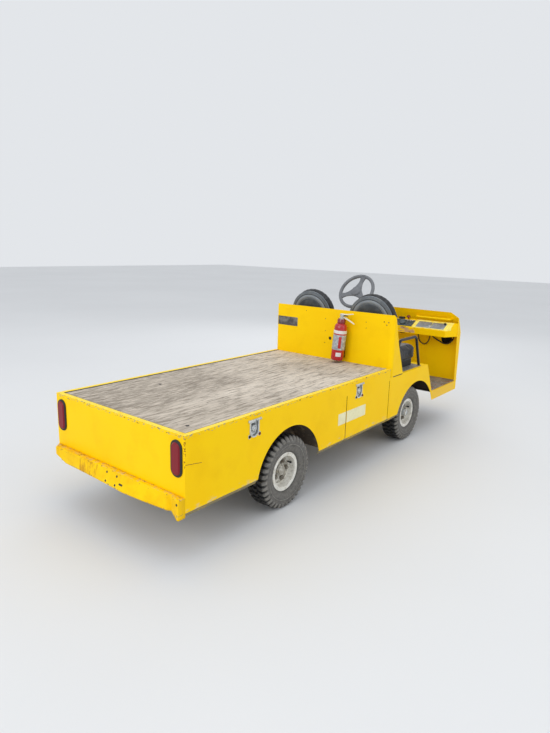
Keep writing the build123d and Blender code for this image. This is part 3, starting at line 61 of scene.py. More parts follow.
MM = 0.001
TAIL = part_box("rear_panel")[0].x
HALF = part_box("side_panel_left")[1].y
DECK_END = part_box("bulkhead")[0].x
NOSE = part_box("front_cowl")[1].x
REAR_X, FRONT_X = (sum(corner.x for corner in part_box(f"tyre_{axle}_left")) / 2
                   for axle in ("rear", "front"))
MID_AXLES, HALF_BASE = (FRONT_X + REAR_X) / 2, (FRONT_X - REAR_X) / 2
AXLE_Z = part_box("tyre_rear_left")[1].z / 2
HANDS = (("left", 1.0), ("right", -1.0))
UPRIGHT = np.eye(3)
# How far the foot of an added piece sinks into what carries it.
SUNK = 0.0002


def station(mm: float) -> float:
    """Model x in metres of a station in millimetres."""
    return TAIL + mm * MM


# Surfaces
@dataclass
class Shape:
    """Points and four-cornered faces of one surface, or of several joined."""

    points: Array
    faces: Array

    def placed(self, origin: Array, axes: Array = UPRIGHT) -> "Shape":
        """The surface with its own x, y and z laid along the rows of axes, from an origin."""
        return Shape(self.points @ np.asarray(axes, float) + np.asarray(origin, float), self.faces)

    def mirrored(self) -> "Shape":
        """The surface on the vehicle's other side."""
        return Shape(self.points * np.array([1.0, -1.0, 1.0]), self.faces[:, ::-1])


def joined(*shapes: Shape) -> Shape:
    """Several surfaces as one."""
    starts = np.cumsum([0] + [len(s.points) for s in shapes[:-1]])
    return Shape(np.vstack([s.points for s in shapes]),
                 np.vstack([s.faces + start for s, start in zip(shapes, starts)]))


def grid(points: Array, wrap_rows: bool = False, wrap_columns: bool = False) -> Shape:
    """Surface through a grid of points, one face between each four neighbours.

    Args:
        points: rows by columns by 3.
        wrap_rows: the last row joins the first.
        wrap_columns: the last column joins the first.

    Returns:
        The surface.
    """
    rows, columns = points.shape[:2]
    i, j = np.meshgrid(np.arange(rows if wrap_rows else rows - 1),
                       np.arange(columns if wrap_columns else columns - 1), indexing="ij")
    i2, j2 = (i + 1) % rows, (j + 1) % columns
    faces = np.stack([i * columns + j, i * columns + j2, i2 * columns + j2, i2 * columns + j], -1)
    return Shape(points.reshape(-1, 3), faces.reshape(-1, 4))


def stacked(rings: Array) -> Shape:
    """Closed surface over a stack of rings, both end rings drawn together to their middles."""
    ends = [np.broadcast_to(ring.mean(0), ring.shape)[None] for ring in (rings[0], rings[-1])]
    return grid(np.concatenate([ends[0], rings, ends[1]]), wrap_columns=True)


def turned(profile: Array, segments: int = 64, close: bool = False) -> Shape:
    """Profile of (radius, height) turned about z: x = r cos a, y = r sin a, z = height.

    Args:
        profile: the points, from the axis to the axis unless close is set.
        segments: steps round.
        close: the last point joins the first, as on a ring.

    Returns:
        The surface.
    """
    profile = np.asarray(profile, float)
    a = np.linspace(0, 2 * np.pi, segments, endpoint=False)
    r, z = profile[:, :1], np.broadcast_to(profile[:, 1:2], (len(profile), segments))
    return grid(np.stack([r * np.cos(a), r * np.sin(a), z], -1), close, True)


def tube(path: Array, radius: float, sides: int = 16) -> Shape:
    """Round bar along a path: each ring is square to the path's direction there."""
    path = np.asarray(path, float)
    along = np.gradient(path, axis=0)
    along /= np.linalg.norm(along, axis=1, keepdims=True)
    u = np.cross(along, np.eye(3)[np.argmin(np.abs(along).max(0))])
    u /= np.linalg.norm(u, axis=1, keepdims=True)
    v = np.cross(along, u)
    a = np.linspace(0, 2 * np.pi, sides, endpoint=False)[None, :, None]
    return stacked(path[:, None] + radius * (np.cos(a) * u[:, None] + np.sin(a) * v[:, None]))


def rounded(width: float, height: float, radius: float, steps: int = 6) -> Array:
    """Outline of a rectangle with round corners, about its middle, anticlockwise.

    Args:
        width: along the first axis.
        height: along the second axis.
        radius: of the corners.
        steps: points on each corner.

    Returns:
        Points by 2.
    """
    turn = np.linspace(0, np.pi / 2, steps)
    corners = ((1, 1, 0), (-1, 1, 1), (-1, -1, 2), (1, -1, 3))
    return np.vstack([np.stack([sx * (width / 2 - radius) + radius * np.cos(turn + k * np.pi / 2),
                                sy * (height / 2 - radius) + radius * np.sin(turn + k * np.pi / 2)], -1)
                      for sx, sy, k in corners])


def slab(outline: Array, low: float, high: float, bevel: float) -> Shape:
    """Flat plate over an outline, from low to high, its upper edge bevelled all round."""
    outline = np.asarray(outline, float)
    middle = (outline.max(0) + outline.min(0)) / 2
    inner = middle + (outline - middle) * (1 - 2 * bevel / np.ptp(outline, axis=0))
    levels = ((outline, low), (outline, high - bevel), (inner, high))
    return stacked(np.stack([np.column_stack([ring, np.full(len(ring), z)]) for ring, z in levels]))


def bolt(radius: float, height: float) -> Shape:
    """Hexagon head on a round washer, along z: six-sided rings above round ones."""
    a = np.linspace(0, 2 * np.pi, 24, endpoint=False)
    six = np.cos(np.pi / 6) / np.cos((a + np.pi / 6) % (np.pi / 3) - np.pi / 6)
    washer = np.full_like(a, 1.45)
    rows = ((washer, 0.0), (washer, 0.18), (six, 0.2), (six, 0.9), (six * 0.9, 1.0))
    return stacked(np.stack([np.stack([radius * s * np.cos(a), radius * s * np.sin(a),
                                       np.full_like(a, height * h)], -1) for s, h in rows]))


def repeated(faces: Array, copies: Array) -> Shape:
    """Copies of one surface as one, from its faces and the points of each copy."""
    shifts = np.arange(len(copies))[:, None, None] * copies.shape[1]
    return Shape(copies.reshape(-1, 3), (faces[None] + shifts).reshape(-1, 4))


def scattered(shape: Shape, places: Array, axes: Array = UPRIGHT) -> Shape:
    """Copies of one surface at many places, its x, y and z laid along the rows of axes."""
    return repeated(shape.faces, np.asarray(places, float)[:, None] + shape.points @ axes)


def spun(shape: Shape, count: int) -> Shape:
    """Copies of one surface at even steps round its own z axis."""
    a = np.arange(count) * 2 * np.pi / count
    spin = np.zeros((count, 3, 3))
    spin[:, 0, 0] = spin[:, 1, 1] = np.cos(a)
    spin[:, 0, 1], spin[:, 1, 0], spin[:, 2, 2] = np.sin(a), -np.sin(a), 1.0
    return repeated(shape.faces, np.einsum("pk,nkj->npj", shape.points, spin))


def facing(x: float, y: float, z: float) -> Array:
    """Axes whose third one points along a direction, their second as near upright as can be."""
    normal = np.array([x, y, z], float)
    normal /= np.linalg.norm(normal)
    up = np.array([0.0, 0.0, 1.0]) if abs(normal[2]) < 0.9 else np.array([1.0, 0.0, 0.0])
    first = np.cross(up, normal)
    first /= np.linalg.norm(first)
    return np.stack([first, np.cross(normal, first), normal])


# Pieces
def meshed(name: str, shape: Shape, finish: bpy.types.Material, sharp_deg: float,
           shades: Array | None = None) -> Piece:
    """Makes a mesh object, welds its seams and turns its faces outwards.

    Args:
        name: the object's name.
        shape: its surface in the frame.
        finish: its material.
        sharp_deg: edges bent more than this stay sharp.
        shades: one value a point, kept as the attribute "shade" for the material.

    Returns:
        The object, at the origin.
    """
    mesh = bpy.data.meshes.new(name)
    mesh.from_pydata(shape.points.tolist(), [], shape.faces.tolist())
    if shades is not None:
        mesh.attributes.new("shade", "FLOAT", "POINT").data.foreach_set("value", shades.ravel())
    work = bmesh.new()
    work.from_mesh(mesh)
    bmesh.ops.remove_doubles(work, verts=work.verts, dist=2e-6)
    bmesh.ops.dissolve_degenerate(work, edges=work.edges, dist=1e-7)
    bmesh.ops.recalc_face_normals(work, faces=work.faces)
    work.to_mesh(mesh)
    work.free()
    mesh.shade_smooth()
    mesh.set_sharp_from_angle(angle=math.radians(sharp_deg))
    mesh.materials.append(finish)
    return linked(name, mesh)


def put(name: str, shape: Shape, finish: "Material", body: str = "body", sharp_deg: float = 35.0,
        shades: Array | None = None) -> Piece:
    """Makes a mesh piece from a surface in the frame, and lets it ride on a body."""
    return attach(meshed(name, shape, finish.build(), sharp_deg, shades), body)


def baked(piece: Piece) -> bpy.types.Mesh:
    """The piece's mesh with its modifiers applied."""
    return bpy.data.meshes.new_from_object(piece.evaluated_get(bpy.context.evaluated_depsgraph_get()))


def points_of(mesh: bpy.types.Mesh) -> Array:
    """The mesh's points as an array."""
    points = np.zeros(len(mesh.vertices) * 3, np.float32)
    mesh.vertices.foreach_get("co", points)
    return points.reshape(-1, 3).astype(float)


def linked(name: str, data: bpy.types.ID) -> Piece:
    """A new object of the data, in the scene."""
    piece = bpy.data.objects.new(name, data)
    bpy.context.scene.collection.objects.link(piece)
    return piece


def walled(piece: Piece, wall: float, outward: tuple[float, float, float]) -> None:
    """Gives an open surface its wall, inwards, for good.

    Args:
        piece: the surface's object.
        wall: thickness.
        outward: direction that most of its faces look in.
    """
    normals = np.array([face.normal for face in piece.data.polygons])
    if (normals @ np.array(outward)).sum() < 0:
        piece.data.flip_normals()
    solid = piece.modifiers.new("wall", "SOLIDIFY")
    solid.thickness, solid.offset = wall, -1.0
    mesh = baked(piece)
    piece.modifiers.clear()
    piece.data = mesh


def stands_for(node: str) -> None:
    """Hides a CAD node that a piece stands in for."""
    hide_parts(node)


# Materials
def linear(code: str) -> tuple[float, float, float, float]:
    """sRGB hex colour as linear RGBA."""
    parts = [int(code[i:i + 2], 16) / 255 for i in (1, 3, 5)]
    return (*[p / 12.92 if p <= 0.04045 else ((p + 0.055) / 1.055) ** 2.4 for p in parts], 1.0)


def add(tree: Tree, kind: str, inputs: dict | None = None, **settings) -> Node:
    """Adds a shader node with its settings, values and links.

    Args:
        tree: the material's node tree.
        kind: the node's type without its prefix.
        inputs: sockets by name or number, each a value or another node's output.
        **settings: the node's own properties.

    Returns:
        The node.
    """
    node = tree.nodes.new("ShaderNode" + kind)
    for key, value in settings.items():
        setattr(node, key, value)
    feed(tree, node, inputs or {})
    return node


def feed(tree: Tree, node: Node, inputs: dict) -> None:
    """Sets a node's sockets to values, or links them to outputs."""
    for key, value in inputs.items():
        if isinstance(value, Socket):
            tree.links.new(value, node.inputs[key])
        else:
            node.inputs[key].default_value = value


def maths(tree: Tree, operation: str, *values: Socket | float, **settings) -> Socket:
    """Result of one operation on sockets or numbers."""
    return add(tree, "Math", dict(enumerate(values)), operation=operation, **settings).outputs[0]


def noise(tree: Tree, place: Socket, size_mm: float, detail: float, rough: float = 0.5) -> Socket:
    """Fractal noise about 0.5 whose features are some size_mm wide."""
    return add(tree, "TexNoise", {"Vector": place, "Scale": 1000 / size_mm, "Detail": detail,
                                  "Roughness": rough}).outputs[0]


def ramp(tree: Tree, value: Socket, low: float, high: float, start: float = 0.0,
         end: float = 1.0, **settings) -> Socket:
    """Value carried from low to high over to start to end, and held there beyond."""
    return add(tree, "MapRange", {"Value": value, "From Min": low, "From Max": high,
                                  "To Min": start, "To Max": end}, **settings).outputs[0]


def blend(tree: Tree, share: Socket | float, first: Socket | tuple, second: Socket | tuple,
          **settings) -> Socket:
    """Colour between two: the first where share is 0, the second where it is 1."""
    return add(tree, "Mix", {0: share, 6: first, 7: second}, data_type="RGBA", **settings).outputs[2]


def bumped(tree: Tree, height: Socket, strength: float, distance: float, **under: Socket) -> Socket:
    """Normal tilted by a height, over the one that Normal=... names if there is one."""
    return add(tree, "Bump", {"Height": height, "Strength": strength, "Distance": distance,
                              **under}).outputs[0]


class Axis(Enum):
    """What a band is measured along: an axis, the distance from the vehicle's middle plane,
    the distance from the nearest axle's line, or how far the surface faces forwards."""

    X = 0
    Y = 1
    Z = 2
    ACROSS = 3
    HUB = 4
    FORWARDS = 5


@dataclass(frozen=True)
class Band:
    """Range of a coordinate in metres, with soft ends."""

    axis: Axis
    low: float
    high: float
    soft: float = 0.01

    def mask(self, tree: Tree, parts: list[Socket]) -> Socket:
        """1 inside the range and 0 outside it."""
        middle, reach = (self.low + self.high) / 2, (self.high - self.low) / 2
        away = maths(tree, "ABSOLUTE", maths(tree, "SUBTRACT", parts[self.axis.value], middle))
        return ramp(tree, away, reach + self.soft, reach, interpolation_type="SMOOTHSTEP")


@dataclass(frozen=True)
class Wear:
    """Second colour that shows in flecks where noise passes a level, inside the bands only.

    The noise lies about 0.5: level 0 covers all, 0.5 half of the surface, and 0.7 leaves specks.
    """

    colour: str
    fleck_mm: float
    level: float
    bands: tuple[Band, ...] = ()
    edge: float = 0.02
    stretch: tuple[float, float, float] = (1.0, 1.0, 1.0)
    rough: float = 0.6

    def mask(self, tree: Tree, place: Socket, parts: list[Socket]) -> Socket:
        """1 in the flecks: noise plus each band's mask, against the level plus 1 a band."""
        spread = add(tree, "Mapping", {"Vector": place, "Scale": self.stretch,
                                       "Location": (self.fleck_mm, self.level, 0.0)})
        grain = noise(tree, spread.outputs[0], self.fleck_mm, 5.0, 0.6)
        for band in self.bands:
            grain = maths(tree, "ADD", band.mask(tree, parts), grain)
        bar = self.level + len(self.bands)
        return ramp(tree, grain, bar - self.edge, bar + self.edge)


@dataclass(frozen=True)
class Material:
    """A finish whose nodes are made once, when a piece first asks for it."""

    name: str

    def build(self) -> bpy.types.Material:
        """The Blender material."""
        if self.name not in bpy.data.materials:
            material = bpy.data.materials.new(self.name)
            material.use_nodes = True
            tree = material.node_tree
            self.recipe(tree, tree.nodes["Principled BSDF"], add(tree, "TexCoord").outputs["Object"])
        return bpy.data.materials[self.name]

    def recipe(self, tree: Tree, shader: Node, place: Socket) -> None:
        """Makes the nodes that feed the shader."""
        raise NotImplementedError


@dataclass(frozen=True)
class Finish(Material):
    """Opaque finish: base colour with soft patches, layers of wear, roughness and grain."""

    colour: str = "#808080"
    patch: str = "#707070"
    patch_mm: float = 300.0
    rough: tuple[float, float] = (0.35, 0.5)
    metallic: float = 0.0
    coat: float = 0.0
    gloss: float = 0.5
    grain_mm: float = 3.0
    grain: float = 0.05
    stretch: tuple[float, float, float] = (1.0, 1.0, 1.0)
    wear: tuple[Wear, ...] = ()
    dent_mm: float = 260.0
    dent: float = 0.0

    @staticmethod
    def parts(tree: Tree, place: Socket) -> list[Socket]:
        """What a band is measured along, in the order of Axis."""
        x, y, z = add(tree, "SeparateXYZ", {0: place}).outputs
        folded = maths(tree, "ABSOLUTE", maths(tree, "ADD", x, -MID_AXLES))
        hub = add(tree, "CombineXYZ", {0: maths(tree, "ADD", folded, -HALF_BASE),
                                       2: maths(tree, "ADD", z, -AXLE_Z)}).outputs[0]
        radius = add(tree, "VectorMath", {0: hub}, operation="LENGTH").outputs["Value"]
        turn = add(tree, "SeparateXYZ", {0: add(tree, "NewGeometry").outputs["Normal"]})
        return [x, y, z, maths(tree, "ABSOLUTE", y), radius, turn.outputs[0]]

    def recipe(self, tree: Tree, shader: Node, place: Socket) -> None:
        """Patches, then the wear's layers, over a fine grain and slow dents."""
        parts = self.parts(tree, place)
        spread = add(tree, "Mapping", {"Vector": place, "Scale": self.stretch}).outputs[0]
        patches = noise(tree, spread, self.patch_mm, 6.0)
        colour = blend(tree, ramp(tree, patches, 0.35, 0.65), linear(self.colour), linear(self.patch))
        rough = ramp(tree, patches, 0.3, 0.7, *self.rough)
        for layer in self.wear:
            mask = layer.mask(tree, place, parts)
            colour = blend(tree, mask, colour, linear(layer.colour))
            rough = add(tree, "Mix", {0: mask, 2: rough, 3: layer.rough}).outputs[0]
        bump = bumped(tree, noise(tree, spread, self.grain_mm, 3.0), self.grain, self.grain_mm * MM)
        if self.dent:
            wave = noise(tree, place, self.dent_mm, 1.0)
            bump = bumped(tree, wave, self.dent, self.dent_mm * MM / 8, Normal=bump)
        feed(tree, shader, {"Base Color": colour, "Roughness": rough, "Normal": bump,
                            "Metallic": self.metallic, "Specular IOR Level": self.gloss,
                            "Coat Weight": self.coat, "Coat Roughness": 0.15})


@dataclass(frozen=True)
class Lens(Material):
    """Moulded acrylic or glass: deep colour over a fine prism pattern, with a wet gloss."""

    colour: str = "#A3202A"
    prism_mm: float = 6.0

    def recipe(self, tree: Tree, shader: Node, place: Socket) -> None:
        """Regular cells shade the colour and dimple the surface."""
        cells = add(tree, "TexVoronoi", {"Vector": place, "Scale": 1000 / self.prism_mm,
                                         "Randomness": 0.15}, feature="F1").outputs[0]
        tone = ramp(tree, cells, 0.0, 0.7, 1.12, 0.82)
        colour = blend(tree, 1.0, linear(self.colour), tone, blend_type="MULTIPLY")
        bump = bumped(tree, cells, 0.2, self.prism_mm * MM / 4)
        feed(tree, shader, {"Base Color": colour, "Normal": bump, "Roughness": 0.3, "IOR": 1.49,
                            "Specular IOR Level": 0.35})


@dataclass(frozen=True)
class DustyRubber(Material):
    """Vulcanised rubber: near black in the grooves, grey where the mesh's "shade" is dusty."""

    clean: str = "#171717"
    dust: str = "#85827C"
    streak_mm: float = 14.0

    def recipe(self, tree: Tree, shader: Node, place: Socket) -> None:
        """The dust's share is the attribute, varied by fine noise."""
        shade = add(tree, "Attribute", attribute_name="shade").outputs["Fac"]
        streaks = noise(tree, place, self.streak_mm, 6.0)
        vary = ramp(tree, streaks, 0.3, 0.7, 0.6, 1.15)
        amount = maths(tree, "MULTIPLY", shade, vary, use_clamp=True)
        feed(tree, shader, {"Base Color": blend(tree, amount, linear(self.clean), linear(self.dust)),
                            "Normal": bumped(tree, streaks, 0.15, 0.002), "Roughness": 0.78})


@dataclass(frozen=True)
class Vinyl(Material):
    """Calendered vinyl over foam: soft sheen, leather-like pebble and worn paler patches."""

    colour: str = "#1C1D20"
    worn: str = "#45474A"
    pebble_mm: float = 2.2
    crease_mm: float = 45.0

    def recipe(self, tree: Tree, shader: Node, place: Socket) -> None:
        """Pebbled cells and slow creases, both as bump."""
        pebble = add(tree, "TexVoronoi", {"Vector": place, "Scale": 1000 / self.pebble_mm},
                     feature="DISTANCE_TO_EDGE").outputs[0]
        crease = noise(tree, place, self.crease_mm, 6.0)
        colour = blend(tree, ramp(tree, crease, 0.5, 0.85), linear(self.colour), linear(self.worn))
        fine = bumped(tree, pebble, 0.25, 0.0006)
        feed(tree, shader, {"Base Color": colour, "Normal": bumped(tree, crease, 0.12, 0.01, Normal=fine),
                            "Roughness": 0.42})


# Finishes of the vehicle
RIM_TOP_HIGHLIGHT = (Band(Axis.Z, 0.6775, 0.69, 0.001), Band(Axis.X, -1.80, 0.300, 0.004))
FRONT_BAR = (Band(Axis.Z, 0.672, 0.683, 0.001), Band(Axis.X, 0.298, 0.3355, 0.0005),
             Band(Axis.ACROSS, 0.0, 0.528, 0.001))
RIM_EDGE = (Band(Axis.Z, 0.662, 0.6785, 0.003), Band(Axis.X, -1.80, 0.336, 0.004),
            Band(Axis.ACROSS, 0.5, 0.57))
RIM_BACK = (Band(Axis.Z, 0.662, 0.6785, 0.003), Band(Axis.X, -1.80, -1.727, 0.001))
TAIL_CORNER = (Band(Axis.X, -1.80, -1.724, 0.004), Band(Axis.Y, -0.57, -0.552, 0.004),
               Band(Axis.Z, 0.52, 0.67, 0.02))
SKIRT = (Band(Axis.Z, 0.284, 0.315, 0.012), Band(Axis.X, -1.73, 0.33, 0.02),
         Band(Axis.ACROSS, 0.55, 0.57))
FOLD = (Band(Axis.Z, 0.20, 0.2835, 0.002), Band(Axis.X, -1.73, 1.1, 0.01))
BOX_INSIDE_SHADE = (Band(Axis.FORWARDS, -1.2, -0.10, 0.05), Band(Axis.Z, 0.30, 0.600, 0.004))
LEDGE = (Band(Axis.Z, 0.3625, 0.37, 0.001), Band(Axis.X, -1.762, -1.72, 0.004))
FACE_STREAK = (Band(Axis.Y, 0.12, 0.27, 0.05), Band(Axis.Z, 0.27, 0.36, 0.02))
DASH_LIP_HIGHLIGHT = (Band(Axis.Y, -0.52, -0.155, 0.01), Band(Axis.Z, 0.842, 0.91, 0.003))
DASH_FACE = (Band(Axis.Y, -0.19, 0.15, 0.03), Band(Axis.Z, 0.79, 0.842, 0.004),
             Band(Axis.X, 1.45, 1.505, 0.003))
DASH_EDGE = (Band(Axis.Y, -0.19, 0.15, 0.03), Band(Axis.Z, 0.79, 0.846, 0.004))
DECK_REAR = (Band(Axis.X, -1.75, -0.80, 0.40), Band(Axis.Y, 0.0, 0.60, 0.30))

# Two-pack enamel on steel sheet: a strong clean yellow with a soft gloss and faint waves in the
# sheet. A painted highlight in pale yellow runs along the rim's top. Chips along the folds show
# grey primer and rust, and road dirt dulls the lower fold.
YELLOW = Finish("yellow_enamel_on_steel", "#FFD200", "#FFCE00", patch_mm=420, rough=(0.38, 0.50),
                grain_mm=2.5, grain=0.02, dent=0.10, gloss=0.10, wear=(
                    Wear("#F6C400", 200, 0.68, edge=0.16, rough=0.5),
                    # painted highlight: pale yellow along the top of the deck rim and rear panel
                    Wear("#FFE14A", 34, 0.44, RIM_TOP_HIGHLIGHT, edge=0.12, rough=0.45),
                    Wear("#AA9F8F", 60, 0.0, FRONT_BAR, rough=0.85),
                    Wear("#A39E84", 13, 0.600, RIM_EDGE, 0.05, (0.55, 1, 1.3)),
                    Wear("#A39E84", 13, 0.590, RIM_BACK, 0.05, (1, 0.55, 1.3)),
                    Wear("#6A4E2E", 16, 0.645, RIM_EDGE, 0.04, (0.6, 1, 1.5)),
                    Wear("#6A4E2E", 16, 0.63, RIM_BACK, 0.04, (1, 0.6, 1.5)),
                    Wear("#7A2A1A", 8, 0.56, TAIL_CORNER),
                    Wear("#E2C88A", 18, 0.60, SKIRT, 0.06, (0.4, 1, 1)),
                    Wear("#8B8262", 60, 0.36, FOLD, 0.12)))
# The same enamel scraped by loads: bare primer and rust on the ledge and thin runs down the face.
BUMPER = replace(YELLOW, name="scuffed_bumper_enamel", wear=(
    Wear("#EBB600", 110, 0.56, edge=0.14, rough=0.5),
    Wear("#D8B878", 26, 0.55, LEDGE, 0.08),
    Wear("#8A6A3C", 12, 0.63, (Band(Axis.Z, 0.352, 0.37, 0.003),), 0.06, (1, 0.5, 1)),
    Wear("#D39A1C", 30, 0.53, FACE_STREAK, 0.08, (1, 1, 0.45)),
    Wear("#9C8A62", 20, 0.60, (Band(Axis.Z, 0.20, 0.290, 0.004),), 0.05)))
# The seat box is open below: its inner faces, which look rearwards, carry a painted shade in near-black
# brown.
SEAT_BOX_SHADED = replace(YELLOW, name="seat_box_enamel_painted_shade", wear=(
    # painted shade: near-black brown over the box's rear-facing inner faces
    *YELLOW.wear, Wear("#3D362E", 60, 0.0, BOX_INSIDE_SHADE, rough=0.9)))
# The dash frame's enamel: a painted highlight in pale yellow on the passenger lip, brown wear and rust on
# the cluster.
DASH_WEAR_AND_HIGHLIGHT = replace(YELLOW, name="dash_enamel_wear_and_painted_highlight", wear=(
    # painted highlight: pale yellow over the passenger side's lip
    Wear("#FFEE7A", 60, 0.42, DASH_LIP_HIGHLIGHT, 0.10),
    Wear("#C9A27C", 34, 0.50, DASH_FACE, 0.06, (1, 0.35, 1)),
    Wear("#5A4238", 24, 0.60, DASH_EDGE, 0.04, (1, 0.35, 1)),
    Wear("#8C6A3A", 16, 0.66, (Band(Axis.Z, 0.83, 0.845, 0.003),), 0.04, (1, 0.4, 1))))
# Weathered hardwood planks: silver-grey fibre with lengthwise streaks, dirt in the grain, and
# paler dry patches where loads have rubbed.
PLANKS = Finish("weathered_deck_planks", "#B3A898", "#8E8477", patch_mm=360, rough=(0.75, 0.92),
                grain_mm=7, grain=0.5, stretch=(0.30, 1.0, 1.0), wear=(
                    Wear("#D2C7B8", 26, 0.52, edge=0.12, stretch=(0.12, 1, 1), rough=0.9),
                    Wear("#DCD1C2", 460, 0.53, edge=0.10, stretch=(0.8, 1, 1), rough=0.9),
                    Wear("#8C8275", 300, 0.40, DECK_REAR, 0.30, (0.6, 1, 1), 0.9),
                    Wear("#7C7265", 11, 0.55, edge=0.08, stretch=(0.09, 1, 1), rough=0.9),
                    Wear("#CABEAF", 10, 0.54, edge=0.08, stretch=(0.14, 1, 1), rough=0.9),
                    Wear("#5F554B", 14, 0.69, edge=0.05, stretch=(0.4, 1, 1), rough=0.85)))
# Chassis black, brushed on: half matt, grey with road dust and rusty at the edges.
BLACK_FRAME = Finish("black_chassis_paint", "#1C1B19", "#2A2723", rough=(0.55, 0.8), grain_mm=4,
                     grain=0.2, wear=(Wear("#6B6152", 70, 0.62, edge=0.10), Wear("#5A3A25", 18, 0.66)))
# Bare arch sheet under years of thrown dust: flat brown.
LINER = Finish("dusty_liner_sheet", "#5E5142", "#3E352C", rough=(0.85, 0.95), grain_mm=6, grain=0.3,
               wear=(Wear("#8A7A62", 60, 0.62, edge=0.08),))
# Rolled floor plate, paint worn through by boots to grey steel and red rust.
TREAD_PLATE = Finish("worn_floor_plate", "#8B8781", "#6C6862", patch_mm=110, rough=(0.6, 0.85),
                     grain_mm=9, grain=0.4, wear=(
                         Wear("#8A4A38", 45, 0.60), Wear("#C9C3B6", 18, 0.62),
                         Wear("#F6C400", 60, 0.0, (Band(Axis.ACROSS, 0.5485, 0.60, 0.001),), rough=0.5)))
# Moulded EPDM: dull black with a faint bloom.
RUBBER = Finish("moulded_black_rubber", "#181818", "#242322", patch_mm=60, rough=(0.5, 0.7), grain_mm=2,
                grain=0.1)
# Rotomoulded polyethylene seat shell: grey, fine orange peel, dusty where hands don't reach.
MOULDED = Finish("grey_moulded_polyethylene", "#70767C", "#63696F", patch_mm=120, rough=(0.42, 0.58),
                 grain_mm=1.6, grain=0.12, wear=(
                     Wear("#8B8E8C", 60, 0.66, edge=0.12, rough=0.8),
                     Wear("#1B1B1D", 60, 0.0, (Band(Axis.Z, 0.60, 0.669, 0.002),))))
# The same plastic in the shadowed middle panel: slate, with a paler bloom.
PANEL_GREY = replace(MOULDED, name="grey_moulded_polyethylene_panel", colour="#3A3F44", patch="#31363B",
                     wear=(Wear("#5A5E60", 70, 0.60, edge=0.12, rough=0.75),))
# The same plastic on the raised bead, where the light catches it: pale grey.
BEAD_GREY = replace(MOULDED, name="grey_moulded_polyethylene_bead", colour="#8C9298", patch="#7C8288")
# Bare steel seat platform: scuffed grey, rusty where water lies.
PLATFORM = Finish("scuffed_platform_steel", "#8B8985", "#6E6C68", patch_mm=90, rough=(0.45, 0.7),
                  metallic=0.3, grain_mm=4, grain=0.2,
                  wear=(Wear("#7A4A38", 22, 0.62), Wear("#A9A7A2", 16, 0.62)))
# Zinc-plated pressed steel: cool white metal gone patchy.
ZINC = Finish("zinc_plated_steel", "#DDE0E0", "#BFC3C4", patch_mm=25, rough=(0.28, 0.5), metallic=0.8,
              grain_mm=2, grain=0.08, wear=(Wear("#9A958A", 14, 0.64, edge=0.06, rough=0.7),))
# The same plating inside the nose, under soot-black overspray.
LAMP_BOWL = replace(ZINC, name="zinc_lamp_bowl", wear=(
    Wear("#1D1C1B", 40, 0.0, (Band(Axis.X, 1.60, 1.7345, 0.0005),), rough=0.7),))
# Bare steel with oil and grime: near black with a dull metal sheen.
DARK_STEEL = Finish("oiled_dark_steel", "#34312D", "#23211F", patch_mm=30, rough=(0.4, 0.6), metallic=0.7,
                    grain_mm=3, grain=0.1, wear=(Wear("#6E5138", 12, 0.60),))
# The same steel under brake dust: the wheel nuts.
NUT_STEEL = replace(DARK_STEEL, name="dusty_nut_steel", colour="#8B867B", patch="#5F5A51", metallic=0.3)
# Steel rusted through its plating: matt red brown and pitted.
RUST = Finish("rusted_bolt_steel", "#7C3A28", "#5A2A1E", patch_mm=8, rough=(0.8, 0.95), grain_mm=2,
              grain=0.4)
# Enamelled pressed wheel: off-white, with painted shade and brake dust greying the dish, and grease round
# the nuts.
RIM_PAINT = Finish("off_white_wheel_enamel", "#E9E7DF", "#DAD7CC", patch_mm=60, rough=(0.4, 0.6),
                   grain_mm=2.5, grain=0.05, wear=(
                       Wear("#B7B2A4", 34, 0.60, edge=0.10, rough=0.8),
                       # painted shade and brake dust: mid grey over the dish, within 82 mm of the hub
                       Wear("#9C978B", 26, 0.42, (Band(Axis.HUB, 0.0, 0.082, 0.008),), 0.12, rough=0.85),
                       Wear("#5A544B", 10, 0.62, (Band(Axis.HUB, 0.036, 0.080, 0.006),), 0.06, rough=0.85),
                       Wear("#7A756B", 8, 0.64, (Band(Axis.HUB, 0.09, 0.125, 0.004),), 0.05, rough=0.85)))
# Powder coat on bent tube: even black with a soft gloss, chipped grey in specks.
TUBE_BLACK = Finish("black_powder_coat", "#161616", "#202020", rough=(0.35, 0.5), grain_mm=1.5,
                    grain=0.05, wear=(Wear("#77746E", 14, 0.70),))
# Satin anodised aluminium: cool grey with a soft horizontal brush.
ALUMINIUM = Finish("satin_aluminium_panel", "#979CA3", "#7F858D", patch_mm=50, rough=(0.32, 0.45),
                   metallic=0.5, grain_mm=1.5, grain=0.05, wear=(
                       Wear("#B9BEC4", 40, 0.60, edge=0.08), Wear("#50545C", 14, 0.68, edge=0.04)))
# Black anodised aluminium: blue-black satin with pale scratches.
DARK_PANEL = Finish("black_anodised_panel", "#3D4B4F", "#2C3538", patch_mm=40, rough=(0.3, 0.45),
                    grain_mm=1.5, grain=0.04,
                    wear=(Wear("#B9C2C2", 7, 0.66), Wear("#5D6A6E", 30, 0.60, edge=0.08)))
# Moulded polypropylene cases: dull black, without shine.
BATTERY = Finish("battery_case_polypropylene", "#2A2A2C", "#1F1F20", rough=(0.5, 0.65))
# Baked enamel on a drawn cylinder: deep clear red under a wet coat.
RED_ENAMEL = Finish("red_cylinder_enamel", "#BE121C", "#A60E18", patch_mm=80, rough=(0.2, 0.3), coat=0.6,
                    grain_mm=2, grain=0.01, wear=(Wear("#7E0C14", 12, 0.66, edge=0.04, rough=0.3),))
# Moulded plastic: the same red, darker.
DARK_RED = replace(RED_ENAMEL, name="red_plastic_collar", colour="#8A1420", patch="#6E0F18")
